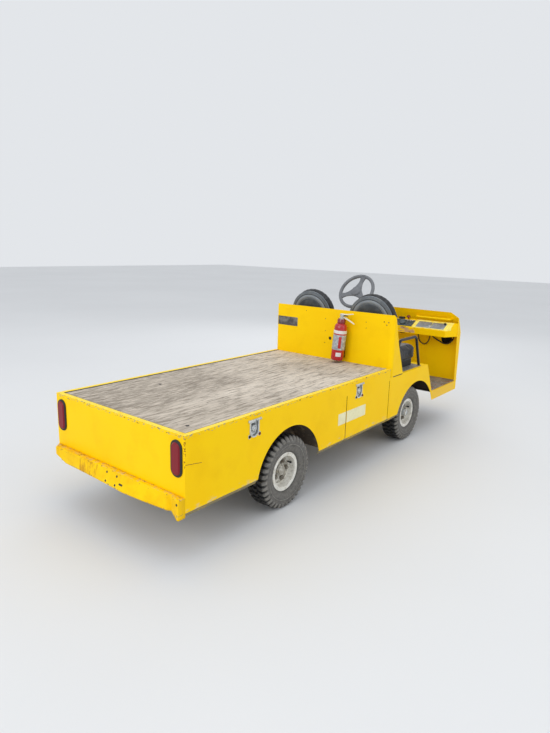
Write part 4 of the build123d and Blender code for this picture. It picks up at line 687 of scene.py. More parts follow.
# Printed foil label with its print left off: satin grey with smudges.
FOIL = Finish("blank_foil_label", "#AEB3B8", "#969CA3", patch_mm=26, rough=(0.3, 0.45), metallic=0.3,
              grain_mm=2, grain=0.02, wear=(Wear("#C9CDD0", 16, 0.56, edge=0.05, rough=0.4),))
# Coated paper: clean white without metal in it.
WHITE_LABEL = replace(FOIL, name="blank_paper_label", colour="#E4E4E2", patch="#D6D6D4", metallic=0.0,
                      wear=())
# Cast vinyl film: pale cream with a few brown specks.
SIGN = Finish("blank_vinyl_sign", "#F1ECC0", "#E6E0B2", patch_mm=60, rough=(0.4, 0.5), grain_mm=2,
              grain=0.02, wear=(Wear("#C9BF8E", 14, 0.66),))
# Dark vinyl film gone grey where it is rubbed.
DARK_SIGN = Finish("blank_dark_vinyl_sign", "#3A3938", "#55534F", patch_mm=70, rough=(0.4, 0.55),
                   grain_mm=2, grain=0.02, wear=(Wear("#8A8781", 60, 0.60, edge=0.12),))
# Nickel on brass: warm white metal with soft reflections.
NICKEL = Finish("nickel_plated_brass", "#CFCFC8", "#B4B4AC", patch_mm=20, rough=(0.25, 0.4), metallic=0.8,
                grain_mm=2, grain=0.05)
# Enamelled pressed steel: cream, half gloss.
LEVER = Finish("cream_enamelled_lever", "#E9E4D2", "#D8D2BE", patch_mm=30, rough=(0.35, 0.5), grain_mm=2,
               grain=0.03)
# Moulded polyurethane: mid grey, matt, with a fine leather grain.
GRIP = Finish("grey_moulded_polyurethane", "#77797D", "#6A6C70", patch_mm=60, rough=(0.45, 0.6),
              grain_mm=1.4, grain=0.10)
# PVC tape: smooth, with a brighter sheen than the wires under it.
TAPE = Finish("pvc_tape_wrap", "#232021", "#3A2220", patch_mm=20, rough=(0.25, 0.4), grain_mm=1.5,
              grain=0.05)
# Moulded acrylic: deep red that sparkles in small prisms.
RED_LENS = Lens("red_acrylic_lens", "#84081C")
# Pressed glass over a grey bowl: pale blue grey with broad flutes.
CLEAR_LENS = Lens("fluted_headlight_glass", "#A9B4BB", prism_mm=11.0)
# Tyre compound: black with grey road dust on the side wall and the lugs' shoulders.
TYRE_RUBBER = DustyRubber("dusty_tyre_rubber")
# Seat vinyl: black with a soft leather-like sheen and greyer worn places.
VINYL = Vinyl("black_seat_vinyl")


def dress(finish: Material, *nodes: str) -> None:
    """Gives CAD nodes their finish."""
    for node in nodes:
        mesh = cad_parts[node].data
        mesh.materials.clear()
        mesh.materials.append(finish.build())


@dataclass(frozen=True)
class Studio:
    """Plain pale floor, soft lights, and the camera at the photograph's place."""

    place: tuple[float, float, float] = (-3.375, -2.401, 1.554)
    yaw_deg: float = 38.60
    pitch_deg: float = 12.28
    roll_deg: float = 1.59
    lens_mm: float = 26.98
    floor_size: float = 60.0
    floor: Finish = Finish("pale_studio_floor", "#E2E3E4", "#DFE0E1", patch_mm=3000, rough=(0.7, 0.8),
                           grain=0.0)
    lights: tuple = (("sky_light", (-1.5, -1.0, 7.0), 70.0, 6.0),
                     ("rear_light", (-12.0, 0.5, 6.0), 470.0, 8.0),
                     ("flank_light", (0.5, -6.0, 3.0), 40.0, 4.0),
                     ("nose_light", (5.0, 3.0, 4.0), 50.0, 4.0))
    aim: tuple[float, float, float] = (0.0, 0.0, 0.5)

    def build(self) -> None:
        """Makes the floor, the camera, the lights and the sky."""
        side = np.linspace(-self.floor_size / 2, self.floor_size / 2, 5)
        x, y = np.meshgrid(side, side, indexing="ij")
        ground = put("studio_floor", grid(np.stack([x, y, 0 * x - SUNK], -1)), self.floor)
        if ground.data.polygons[0].normal.z < 0:
            ground.data.flip_normals()
        self.camera()
        for name, place, watts, size in self.lights:
            self.light(name, place, watts, size)
        world = bpy.data.worlds.new("overcast")
        world.use_nodes = True
        feed(world.node_tree, world.node_tree.nodes["Background"],
             {"Color": linear("#EEF1F5"), "Strength": 0.90})
        bpy.context.scene.world = world
        bpy.context.scene.view_settings.view_transform = "Standard"

    def camera(self) -> None:
        """Camera turned by yaw, pitch down and roll from +X."""
        yaw, pitch, roll = (math.radians(v) for v in (self.yaw_deg, self.pitch_deg, self.roll_deg))
        ahead = Vector((math.cos(yaw) * math.cos(pitch), math.sin(yaw) * math.cos(pitch),
                        -math.sin(pitch)))
        right = Vector((math.sin(yaw), -math.cos(yaw), 0.0))
        up = right.cross(ahead)
        turn = Matrix((math.cos(roll) * right + math.sin(roll) * up,
                       math.cos(roll) * up - math.sin(roll) * right, -ahead)).transposed()
        data = bpy.data.cameras.new("camera")
        data.lens, data.sensor_width, data.clip_end = self.lens_mm, 36.0, 200
        camera = linked("camera", data)
        camera.matrix_world = Matrix.Translation(self.place) @ turn.to_4x4()
        bpy.context.scene.camera = camera

    def light(self, name: str, place: tuple, watts: float, size: float) -> None:
        """One large soft source aimed at the body's middle."""
        data = bpy.data.lights.new(name, "AREA")
        data.energy, data.size = watts, size
        light = linked(name, data)
        light.location = place
        light.rotation_euler = (Vector(self.aim) - Vector(place)).to_track_quat("-Z", "Y").to_euler()


@dataclass
class Wiring:
    """Two runs of wire that hang under the dash, each a NURBS spline through its route."""

    x: float = 1.716
    loop: tuple = ((-138, 791), (-138, 752), (-146, 705), (-175, 668), (-215, 655), (-250, 688),
                   (-262, 742), (-262, 791))
    bundle: tuple = ((-278, 791), (-278, 761), (-299, 737), (-347, 714), (-400, 690), (-445, 690),
                     (-484, 722), (-500, 760), (-500, 791))
    wraps: tuple = ((0.30, 0.36), (0.62, 0.67))
    tape_over: float = 0.0008

    def build(self) -> None:
        """Makes both runs and the tape round them."""
        self.run("wire_loop", self.loop, 0.010)
        self.run("wire_bundle", self.bundle, 0.012)
        dress(RUBBER, "wire_clips")

    def run(self, node: str, route: tuple, diameter: float) -> None:
        """One run as a bevelled curve, with two wraps of tape on its line.

        Args:
            node: the CAD node that it stands for.
            route: control points as (y, z) in millimetres.
            diameter: of the run.
        """
        curve = bpy.data.curves.new(f"{node}_curve", "CURVE")
        curve.dimensions = "3D"
        spline = curve.splines.new("NURBS")
        spline.points.add(len(route) - 1)
        points = [(self.x, y * MM, z * MM, 1.0) for y, z in route]
        spline.points.foreach_set("co", np.array(points).ravel())
        spline.order_u, spline.use_endpoint_u, spline.resolution_u = 3, True, 16
        piece = linked(f"{node}_run", curve)
        line = points_of(baked(piece))
        curve.bevel_depth, curve.bevel_resolution, curve.use_fill_caps = diameter / 2, 4, True
        curve.materials.append(RUBBER.build())
        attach(piece, "body")
        wraps = joined(*[tube(line[int(len(line) * a):int(len(line) * b)], diameter / 2 + self.tape_over)
                         for a, b in self.wraps])
        tape = put(f"{node}_tape", wraps, TAPE)
        stands_for(node)
        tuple(points[0][:3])


@dataclass
class Bodywork:
    """Sheet body, deck and floor: CAD nodes with their finishes, and the thin things that lie
    on them, such as sealant, blank signs, a scratch, seams and the restraints' bolts."""

    painted: tuple[str, ...] = ("side_panel_left", "side_panel_right", "rear_panel", "deck_rim",
                                "bulkhead", "front_fender_left", "front_fender_right", "front_cowl",
                                "front_bumper", "grab_handle")
    gasket: float = 0.010
    gasket_high: float = 0.0034
    rim: float = 0.028
    deck_z: float = 0.675
    platform_z: float = 0.6119
    scratch_deg: float = 9.0
    deck_bolts: tuple = ((-1.610, -0.447), (-1.165, 0.303))

    def build(self) -> None:
        """Dresses the sheet body and adds what lies on it."""
        dress(YELLOW, *self.painted)
        dress(DASH_WEAR_AND_HIGHLIGHT, "dash_panel")
        dress(SEAT_BOX_SHADED, "seat_box")
        dress(PLANKS, "deck_board")
        dress(TREAD_PLATE, "footwell_floor")
        dress(BATTERY, "battery_pack")
        self.seal()
        self.signs()
        self.marks()
        self.platform()

    def seal(self) -> None:
        """Strip of black sealant in the joint between planks and rim: three long low bars."""
        inner = HALF - self.rim
        back, front = TAIL + self.rim, DECK_END
        long, cross = (slab(rounded(length, width, 0.002, 3), 0, self.gasket_high, 0.001)
                       for length, width in ((front - back, self.gasket), (self.gasket, 2 * inner)))
        z = self.deck_z - SUNK
        bars = [long.placed(((back + front) / 2, side * inner, z)) for _, side in HANDS]
        put("deck_sealant", joined(*bars, cross.placed((back, 0, z))), RUBBER)

    def signs(self) -> None:
        """Blank signs on the right flank, split by the slot, and on the bulkhead."""
        right = facing(0, -1, 0)
        for name, low, high in (("flank_sign_rear", 1351, 1444), ("flank_sign_front", 1456, 1708)):
            plate = slab(rounded((high - low) * MM, 0.080, 0.002, 4), -SUNK, 0.0008, 0.0004)
            put(name, plate.placed((station((low + high) / 2), -HALF, 0.440), right), SIGN)
        plate = slab(rounded(0.206, 0.074, 0.004, 4), -SUNK, 0.0010, 0.0005)
        put("bulkhead_sign", plate.placed((DECK_END, 0.434, 0.941), facing(-1, 0, 0)), DARK_SIGN)

    def marks(self) -> None:
        """Rusty scratch on the right flank, seams on the wings, and black discs painted as the shade in the
        deck's bolt recesses.
        """
        scratch = slab(rounded(0.108, 0.0024, 0.001, 3), -SUNK, 0.0004, 0.0002)
        tilt = math.radians(self.scratch_deg)
        axes = np.array([[math.cos(tilt), 0, -math.sin(tilt)], [math.sin(tilt), 0, math.cos(tilt)],
                         [0, -1, 0]])
        put("flank_scratch", scratch.placed((TAIL + 0.057, -HALF, 0.524), axes), RUST)
        seam = slab(rounded(0.158, 0.0065, 0.002, 3), -SUNK, 0.0008, 0.0003)
        wings = [seam.placed((0.458, side * HALF, 0.609), facing(0, side, 0)) for _, side in HANDS]
        put("wing_seams", joined(*wings), RUBBER)
        bolt_mouth = turned([(0, 0.0008), (0.009, 0.0008), (0.0105, 0), (0.0105, -0.001), (0, -0.001)], 24)
        places = [(x, y, self.deck_z) for x, y in self.deck_bolts]
        # painted shade: flat black discs for the dark inside of the deck's bolt recesses
        put("deck_bolt_recess_painted_shade", scattered(bolt_mouth, places), RUBBER)

    def platform(self) -> None:
        """Bare plate on top of the seat box, and the bolts of the hip restraints' feet."""
        plate = slab(rounded(0.500, 1.070, 0.012, 4), 0, 0.0025, 0.001)
        put("seat_platform_plate", plate.placed((0.690, 0, self.platform_z)), PLATFORM)
        for hand, side in HANDS:
            feet = [(x, side * 0.513, 0.6135) for x in (0.505, 0.560)]
            put(f"restraint_bolts_{hand}", scattered(bolt(0.006, 0.005), feet), DARK_STEEL)


@dataclass
class Underbody:
    """Chassis, springs, axles and steering rods with their finishes, and the skins that close
    the rear arches over the tyres."""

    black: tuple[str, ...] = ("main_frame", "front_axle", "rear_axle", "leaf_springs", "tie_rod",
                              "drag_link", "pitman_arm", "knuckle_left", "knuckle_right")
    arch_height: float = 0.218
    arch_radius: float = 0.316
    skin: float = 0.002
    from_skirt: float = 0.045
    from_flank: float = 0.004
    steps: int = 33

    def build(self) -> None:
        """Dresses the running gear and the arch liners, and closes the arches over the tyres."""
        dress(BLACK_FRAME, *self.black)
        dress(LINER, "wheel_arch_liners")
        put("arch_skins_rear", joined(*[self.arch(side) for _, side in HANDS]), LINER, sharp_deg=50)

    def arch(self, side: float) -> Shape:
        """Skin over a rear tyre, from the upright liner to the flank: an arc about the arch's
        middle, x = r cos a and z = r sin a, that ends a little above the skirt.

        Args:
            side: 1 on the left, -1 on the right.

        Returns:
            The bent sheet.
        """
        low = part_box("side_panel_left")[0].z + self.from_skirt
        lean = np.arcsin((low - self.arch_height) / self.arch_radius)
        a = np.linspace(lean, np.pi - lean, self.steps)[:, None]
        radius = self.arch_radius + self.skin * np.array([0, 0, 1, 1])
        inner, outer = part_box("wheel_arch_liners")[1].y, HALF - self.from_flank
        across = side * np.array([inner, outer, outer, inner])
        return stacked(np.stack([REAR_X + radius * np.cos(a), np.broadcast_to(across, (self.steps, 4)),
                                 self.arch_height + radius * np.sin(a)], -1))


@dataclass
class TieDowns:
    """Pressed pans in the flanks: zinc, each with a bar's end caps, splayed feet and bolts."""

    stations: tuple[float, float] = (500.0, 1607.0)
    foot_z: float = 0.556
    foot_out: float = 0.041
    bar_z: float = 0.642
    bar_half: float = 0.0485
    dish_z: float = 0.596
    throat_in: float = 0.0139

    def build(self) -> None:
        """Dresses the pans and adds their small parts on both sides."""
        dress(ZINC, "tie_downs")
        for number, mm in enumerate(self.stations, 1):
            for hand, side in HANDS:
                self.small_parts(f"{hand}_{number}", station(mm), side)

    def small_parts(self, name: str, x: float, side: float) -> None:
        """Feet, their bolts, the bar's end caps, the dish, and a dark disc painted as the shade in the
        throat of one pan.

        Args:
            name: ending of the pieces' names.
            x: the pan's middle.
            side: 1 left, -1 right.
        """
        out = facing(0, side, 0)
        y = side * HALF
        foot = slab(rounded(0.019, 0.024, 0.007, 5), -SUNK, 0.003, 0.001)
        feet = [foot.placed((x + s * self.foot_out, y, self.foot_z), out) for s in (-1, 1)]
        put(f"tie_down_feet_{name}", joined(*feet), ZINC)
        for end, s, finish in (("rear", -1, DARK_STEEL), ("front", 1, RUST)):
            place = (x + s * self.foot_out, y + side * 0.003, self.foot_z)
            put(f"tie_down_bolt_{end}_{name}", bolt(0.0062, 0.0052).placed(place, out), finish)
        cap = turned([(0, 0), (0.0078, 0), (0.0078, 0.006), (0.006, 0.008), (0, 0.008)], 20)
        caps = [cap.placed((x + s * (self.bar_half - 0.004), y + side * 0.002, self.bar_z),
                           facing(s, 0, 0)) for s in (-1, 1)]
        put(f"tie_down_caps_{name}", joined(*caps), ZINC)
        dish = turned([(0, 0.003), (0.0055, 0.003), (0.0075, -0.002), (0.0125, -0.003), (0.0140, 0.0015),
                       (0.0172, 0.002), (0.0195, -0.002), (0.0195, -0.011), (0, -0.011)], 36)
        put(f"tie_down_dish_{name}", dish.placed((x, y, self.dish_z), out), ZINC)
        throat = slab(rounded(0.046, 0.046, 0.0229, 10), 0, 0.0006, 0.0002)
        place = (x, y - side * self.throat_in, self.dish_z + 0.001)
        # painted shade: a thin dark disc deep in the pan stands for its shadowed recess
        put(f"tie_down_throat_painted_shade_{name}", throat.placed(place, out), DARK_STEEL)


@dataclass
class RearBumper:
    """Pressed bumper with the dents of use: ledge, rounded edge and face along a bent line.

    Tables run from the left end to the right end, as station and height of the face's top
    and bottom line over y, all in millimetres.
    """

    y: tuple[float, ...] = (559, 521, 423, 282, 108, -143, -301, -462, -480, -545, -559)
    top_x: tuple[float, ...] = (-2, -45, -41, -43, -34, -30, -30, -24, -21, -41, -42)
    low_x: tuple[float, ...] = (-2, -45, -43, -44, -50, -60, -50, -32, -20, -44, -45)
    low_z: tuple[float, ...] = (330, 318, 284, 283, 284, 283, 283, 282, 281, 262, 262)
    top_z: float = 365.0
    fold_radius: float = 7.0
    wall: float = 4.0
    columns: int = 120
    holes: tuple = ((22, 345), (21, 298), (-66, 343), (-66, 298), (-545, 340))
    slot: tuple[float, float] = (-112.0, 313.0)

    def build(self) -> None:
        """Makes the bumper in place of the CAD one, and black discs painted as the shade inside its hitch
        holes and slot.
        """
        piece = put("rear_bumper_dented", self.surface(), BUMPER, sharp_deg=40)
        walled(piece, self.wall * MM, (-1, 0, 0))
        mouth = turned([(0, 0.0009), (0.0058, 0.0009), (0.0068, 0.0), (0.0068, -0.003), (0, -0.003)], 24)
        bar = slab(rounded(0.032, 0.010, 0.0045, 6), -0.003, 0.0009, 0.0003)
        marks = [self.on_face(mouth, *place) for place in self.holes]
        # painted shade: flat black discs and a bar stand for the dark inside of the holes and the slot
        put("hitch_hole_painted_shade", joined(*marks, self.on_face(bar, *self.slot)), RUBBER)
        stands_for("rear_bumper")

    def on_face(self, shape: Shape, y: float, z: float) -> Shape:
        """A shape set on the face at a place in mm, square to the sheet there.

        Args:
            shape: about its own z axis, in metres.
            y: across the vehicle.
            z: height.

        Returns:
            The shape in the frame.
        """
        top, low, base = self.lines(y)
        start = self.top_z - self.fold_radius
        x = top + (low - top) * (start - z) / (start - base)
        return shape.placed((TAIL + x * MM, y * MM, z * MM), facing(base - start, 0, top - low))

    def lines(self, y: Array | float) -> list[Array]:
        """The face's top station, bottom station and bottom height at places across, in mm."""
        return [np.interp(y, self.y[::-1], row[::-1]) for row in (self.top_x, self.low_x, self.low_z)]

    def surface(self) -> Shape:
        """Rows from the wall over the ledge, round the fold and down the face, and a last
        column on the wall that closes the right end."""
        y = np.unique(np.concatenate([np.linspace(self.y[0], self.y[-1], self.columns), self.y]))[::-1]
        top, low, base = self.lines(y)
        r = np.minimum(self.fold_radius, -top * 0.8)
        turn = np.linspace(0, np.pi / 2, 5)[:, None]
        share = np.linspace(0.15, 1.0, 8)[:, None]
        x = np.vstack([0 * y, (top + r) * 0.5, top + r - r * np.sin(turn), top + (low - top) * share])
        z = np.vstack([0 * y + self.top_z, 0 * y + self.top_z, self.top_z - r + r * np.cos(turn),
                       (self.top_z - r) + (base - self.top_z + r) * share])
        rows = np.stack([TAIL + x * MM, np.broadcast_to(y, x.shape) * MM, z * MM], -1)
        corner = rows[:, -1:] * np.array([0.0, 1.0, 1.0]) + np.array([TAIL, 0.0, 0.0])
        return grid(np.concatenate([rows, corner], 1))


@dataclass
class Lamps:
    """Tail lights in their grommets and round headlights in the nose."""

    def build(self) -> None:
        """Dresses the lenses, grommets and bowls, and adds the headlights' gaskets."""
        dress(RUBBER, "tail_light_housings")
        dress(RED_LENS, "tail_light_lenses")
        dress(CLEAR_LENS, "headlight_lenses")
        dress(LAMP_BOWL, "headlights")
        low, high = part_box("headlights")
        r, z = (high.z - low.z) / 2, (high.z + low.z) / 2
        ring = turned([(r - 0.002, -0.0005), (r + 0.0045, -0.0005), (r + 0.0045, 0.0030),
                       (r + 0.0015, 0.0045), (r - 0.002, 0.0030)], 72, close=True)
        for hand, side in HANDS:
            gasket = ring.placed((NOSE, side * (high.y - r), z), facing(1, 0, 0))
            put(f"headlight_gasket_{hand}", gasket, RUBBER)


@dataclass
class Tyre:
    """Pneumatic tyre with chunky lugs: a turned carcass and rows of tapered blocks."""

    side: float
    x: float
    y: float
    radius: float = 0.228
    lugs: int = 36
    steps: int = 144
    worn_from: float = 0.2255
    dusty_from: float = 0.052
    dusty_over: float = 0.010

    def carcass(self) -> tuple[Shape, Array]:
        """Closed section turned about the axle, and the dust on each of its points."""
        half = np.array([
            (0.0, 0.2165, 0.0), (0.040, 0.2165, 0.0), (0.056, 0.215, 0.05), (0.0645, 0.209, 0.25),
            (0.0690, 0.202, 0.35), (0.0718, 0.194, 0.6), (0.0725, 0.183, 0.62), (0.0722, 0.1755, 0.5),
            (0.0735, 0.1735, 1.0), (0.0735, 0.1705, 1.0), (0.0715, 0.1685, 0.5), (0.0700, 0.160, 0.6),
            (0.0665, 0.147, 0.7), (0.0610, 0.134, 0.62), (0.0560, 0.1265, 0.45), (0.0535, 0.1215, 0.25),
            (0.0490, 0.1190, 0.1), (0.0470, 0.110, 0.0), (0.0460, 0.1026, 0.0)])
        section = np.vstack([half[1:][::-1] * np.array([-1.0, 1.0, 1.0]), half])
        return turned(section[:, [1, 0]], self.steps, close=True), np.repeat(section[:, 2], self.steps)

    def blocks(self, stations: Array, turn: float, skew: float, half_width: float) -> Shape:
        """One row of lugs: a six-sided section carried across the tread, shifted round with
        skew times a sine so that the rows read as a zigzag.

        Args:
            stations: rows of (distance from the middle, foot radius, top radius).
            turn: first lug's place as a share of the pitch.
            skew: shift round, in pitches.
            half_width: half of a lug's width as a share of the pitch.

        Returns:
            All lugs of the row about the tyre's own z axis.
        """
        shares = np.array([-1.15, -1.0, -0.86, 0.86, 1.0, 1.15]) * half_width
        rise = np.array([0.0, 0.75, 1.0, 1.0, 0.75, 0.0])
        bend = skew * np.sin(np.linspace(0, 1, len(stations)) * np.pi * 0.9)
        angle = (turn + bend[:, None] + shares[None]) * 2 * np.pi / self.lugs
        r = stations[:, 1:2] + (stations[:, 2:3] - stations[:, 1:2]) * rise[None]
        return spun(stacked(np.stack([r * np.cos(angle), r * np.sin(angle),
                                      np.broadcast_to(stations[:, :1], r.shape)], -1)), self.lugs)

    def surface(self) -> tuple[Shape, Array]:
        """Carcass and three rows of lugs in the frame, and the dust on each point."""
        base, dust = self.carcass()
        top = self.radius
        shoulder = np.array([(0.022, 0.213, top), (0.036, 0.213, top), (0.052, 0.212, top - 0.001),
                             (0.0605, 0.207, top - 0.0055), (0.0672, 0.198, top - 0.013),
                             (0.0725, 0.192, top - 0.024)])
        middle = np.array([(-0.016, 0.213, top), (-0.006, 0.213, top), (0.006, 0.213, top),
                           (0.016, 0.213, top)])
        far = self.blocks(shoulder, 0.5, 0.22, 0.29)
        lugs = joined(self.blocks(shoulder, 0.0, 0.22, 0.29), self.blocks(middle, 0.35, 0.30, 0.26),
                      Shape(far.points * np.array([1.0, 1.0, -1.0]), far.faces[:, ::-1]))
        high = np.hypot(lugs.points[:, 0], lugs.points[:, 1]) > self.worn_from
        outer = np.clip((np.abs(lugs.points[:, 2]) - self.dusty_from) / self.dusty_over, 0, 1)
        axes = np.array([[1.0, 0, 0], [0, 0, 1.0], [0, self.side, 0]])
        return (joined(base, lugs).placed((self.x, self.y, self.radius), axes),
                np.concatenate([dust, np.clip(outer * 0.95 + 0.12 * high, 0, 1)]))


@dataclass
class RoadWheel:
    """One wheel: CAD rim with its finish, dusty lugged tyre, nuts, cap and valve."""

    name: str
    side: float
    circle: float = 0.057
    nuts: int = 5
    disc_out: float = 0.008
    nut_radius: float = 0.0118
    nut_high: float = 0.0185
    front_cap: float = 0.0295
    rear_cap: float = 0.0235
    rear_reach: float = 0.030
    valve: tuple[float, float, float] = (0.080, 0.006, 0.030)

    def build(self) -> None:
        """Makes the tyre and the small parts on their wheel's body."""
        body = f"road_wheel_{self.name}"
        dress(RIM_PAINT, f"wheel_{self.name}")
        low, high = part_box(f"tyre_{self.name}")
        x, y = (low.x + high.x) / 2, (low.y + high.y) / 2
        shape, dust = Tyre(self.side, x, y).surface()
        tyre = put(f"lugged_tyre_{self.name}", shape, TYRE_RUBBER, body, 30, dust)
        stands_for(f"tyre_{self.name}")
        self.small_parts(body, x, y)

    def small_parts(self, body: str, x: float, y: float) -> None:
        """Hexagon nuts over the wheel's studs, the hub cap's skin and the valve stem."""
        out = facing(0, self.side, 0)
        a = np.arange(self.nuts) * 2 * np.pi / self.nuts
        face = y + self.side * self.disc_out
        places = np.stack([x + self.circle * np.cos(a), np.full_like(a, face),
                           AXLE_Z + self.circle * np.sin(a)], -1)
        nut = bolt(self.nut_radius, self.nut_high)
        put(f"wheel_nuts_{self.name}", scattered(nut, places, out), NUT_STEEL, body)
        front = self.name.startswith("front")
        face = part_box(f"wheel_{self.name}")[int(self.side > 0)].y
        reach = self.side * (face - y) if front else self.rear_reach
        r = self.front_cap if front else self.rear_cap
        cap = turned([(0, reach + 0.0012), (r * 0.55, reach + 0.0008), (r * 0.88, reach - 0.002),
                      (r, reach - 0.007), (r + 0.0006, 0.010), (0, 0.010)], 48)
        finish = ZINC if front else RIM_PAINT
        put(f"hub_cap_{self.name}", cap.placed((x, y, AXLE_Z), out), finish, body)
        stem = turned([(0, 0), (0.0045, 0), (0.0045, 0.018), (0.006, 0.019), (0.006, 0.030),
                       (0.004, 0.032), (0, 0.032)], 16)
        ahead, outward, up = self.valve
        place = (x + ahead, y + self.side * outward, AXLE_Z + up)
        put(f"valve_stem_{self.name}", stem.placed(place, out), RUBBER, body)


@dataclass
class Seats:
    """Moulded shells, padded cushions blown up from their CAD solids, and rolled edges."""

    pressure: float = 4.0
    voxel: float = 0.006
    frames: int = 20
    cap: float = 0.014
    half: float = 0.196
    middle: float = 0.286
    foot: tuple[float, float] = (0.517, 0.672)
    lean: tuple[float, float] = (-0.070, 0.528)
    depth: float = 0.017
    inset: float = 0.062
    line_foot: float = 0.060
    roll_radius: float = 0.027
    roll_ahead: float = 0.040
    roll_foot: float = 0.110
    roll_steps: int = 420
    roll_sides: int = 14
    rib: float = 0.022
    rib_pitch: float = 0.034

    def build(self) -> None:
        """Makes the left seat's pads, panel, bead, groove and roll, and mirrors them."""
        dress(MOULDED, "seat_shell_left", "seat_shell_right")
        dress(TUBE_BLACK, "hip_restraints")
        for part in ("seat_cushion", "seat_back"):
            points, faces = self.blown(f"{part}_left")
            for hand, side in HANDS:
                piece = self.pad(f"{part}_pad_{hand}", points * np.array([1.0, side, 1.0]), faces, side)
                stands_for(f"{part}_{hand}")
        left = (self.panel(), self.line(0.043, 0.012, 16, 0.35), self.line(0.026, 0.0035, 12, 0.3),
                self.roll())
        for hand, side in HANDS:
            panel, bead, groove, roll = left if side > 0 else [shape.mirrored() for shape in left]
            put(f"seat_back_panel_{hand}", panel, PANEL_GREY)
            put(f"seat_back_bead_{hand}", bead, BEAD_GREY, sharp_deg=60)
            # painted shade: the groove is a raised slate tube whose dark colour stands for the groove's
            # shade
            put(f"seat_back_groove_{hand}", groove, PANEL_GREY, sharp_deg=60)
            edge = put(f"seat_edge_roll_{hand}", roll, VINYL, sharp_deg=60)

    def axes(self) -> Array:
        """The back's own axes: to the left, up the back, and forward out of it."""
        up = np.array([self.lean[0], 0.0, self.lean[1]]) / math.hypot(*self.lean)
        left = np.array([0.0, 1.0, 0.0])
        return np.stack([left, up, np.cross(left, up)])

    def dome(self, inset: float, low: float, steps: int = 40) -> Array:
        """Seat back outline from foot to foot: straight sides and a half circle on top.

        Args:
            inset: distance inside the shell's edge.
            low: height of its feet.
            steps: points on the half circle.

        Returns:
            Points by 2, to the left and up the back.
        """
        half = self.half - inset
        side = math.hypot(*self.lean) - inset - half
        a = np.linspace(0, np.pi, steps)
        rise = np.linspace(low, side, 12, endpoint=False)
        return np.vstack([np.stack([0 * rise + half, rise], -1),
                          np.stack([half * np.cos(a), side + half * np.sin(a)], -1),
                          np.stack([0 * rise - half, rise[::-1]], -1)])

    def placed(self, shape: Shape) -> Shape:
        """A shape in the back's own axes put on the left seat."""
        return shape.placed((self.foot[0], self.middle, self.foot[1]), self.axes())

    def panel(self) -> Shape:
        """Darker middle panel on the shell's rear: nested outlines, crowned by a millimetre."""
        rings = [(0.0, 0.0), (0.0, 0.0010), (0.003, 0.0022), (0.030, 0.0034), (0.070, 0.0042)]
        rows = []
        for i, h in rings:
            outline = self.dome(self.inset + i, self.inset + i)
            rows.append(np.column_stack([outline, np.full(len(outline), -self.depth - h)]))
        return self.placed(stacked(np.stack(rows)))

    def line(self, inset: float, radius: float, sides: int, flat: float) -> Shape:
        """Bead or groove round the panel: a flattened tube along the outline, half sunk in the
        shell.

        Args:
            inset: distance inside the shell's edge.
            radius: of the tube.
            sides: points round it.
            flat: its depth as a share of its width.

        Returns:
            The tube on the left seat.
        """
        path = self.dome(inset, self.line_foot, 120)
        shape = tube(np.column_stack([path, 0 * path[:, 0]]), radius, sides)
        points = shape.points * np.array([1.0, 1.0, flat]) - [0, 0, self.depth]
        return self.placed(Shape(points, shape.faces))

    def roll(self) -> Shape:
        """Padded roll round the back's edge: a tube along the outline at even steps, its radius
        times 1 + rib sin(2 pi s / pitch) at the length s along it."""
        path = self.dome(self.roll_radius * 0.62, self.roll_foot, 260)
        along = np.concatenate([[0], np.cumsum(np.linalg.norm(np.diff(path, axis=0), axis=1))])
        even = np.linspace(0, along[-1], self.roll_steps)
        path = np.column_stack([np.interp(even, along, path[:, k]) for k in (0, 1)]
                               + [np.full(self.roll_steps, self.roll_ahead)])
        shape = tube(path, self.roll_radius, self.roll_sides)
        middle = np.repeat(np.vstack([path[:1], path, path[-1:]]), self.roll_sides, axis=0)
        s = np.repeat(np.r_[even[0], even, even[-1]], self.roll_sides)[:, None]
        rib = 1 + self.rib * np.sin(s * 2 * np.pi / self.rib_pitch)
        return self.placed(Shape(middle + (shape.points - middle) * rib, shape.faces))

    def blown(self, node: str) -> tuple[Array, list]:
        """The CAD solid remeshed, blown up by cloth pressure, and capped to stay near it.

        Args:
            node: the CAD node to start from.

        Returns:
            The settled points and the faces.
        """
        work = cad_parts[node].copy()
        work.data = work.data.copy()
        bpy.context.scene.collection.objects.link(work)
        merged = bmesh.new()
        merged.from_mesh(work.data)
        bmesh.ops.remove_doubles(merged, verts=merged.verts, dist=1e-5)
        merged.to_mesh(work.data)
        merged.free()
        remesh = work.modifiers.new("remesh", "REMESH")
        remesh.mode, remesh.voxel_size = "VOXEL", self.voxel
        smooth = work.modifiers.new("smooth", "SMOOTH")
        smooth.factor, smooth.iterations = 0.5, 8
        mesh = baked(work)
        work.modifiers.clear()
        work.data = mesh
        points = points_of(mesh)
        cloth = work.modifiers.new("cloth", "CLOTH").settings
        cloth.use_pressure, cloth.uniform_pressure_force = True, self.pressure
        cloth.effector_weights.gravity = 0.0
        for number in range(1, self.frames + 1):
            bpy.context.scene.frame_set(number)
        move = points_of(baked(work)) - points
        length = np.linalg.norm(move, axis=1, keepdims=True)
        points = points + move * np.minimum(1.0, self.cap / np.maximum(length, 1e-9))
        bpy.context.scene.frame_set(1)
        faces = [list(p.vertices) for p in mesh.polygons]
        bpy.data.objects.remove(work)
        return points, faces

    @staticmethod
    def pad(name: str, points: Array, faces: list, side: float) -> Piece:
        """A padded piece from settled points, turned outwards and subdivided once."""
        mesh = bpy.data.meshes.new(name)
        mesh.from_pydata(points.tolist(), [], faces if side > 0 else [f[::-1] for f in faces])
        mesh.shade_smooth()
        mesh.materials.append(VINYL.build())
        piece = linked(name, mesh)
        level = piece.modifiers.new("subdivide", "SUBSURF")
        level.levels = level.render_levels = 1
        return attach(piece, "body")


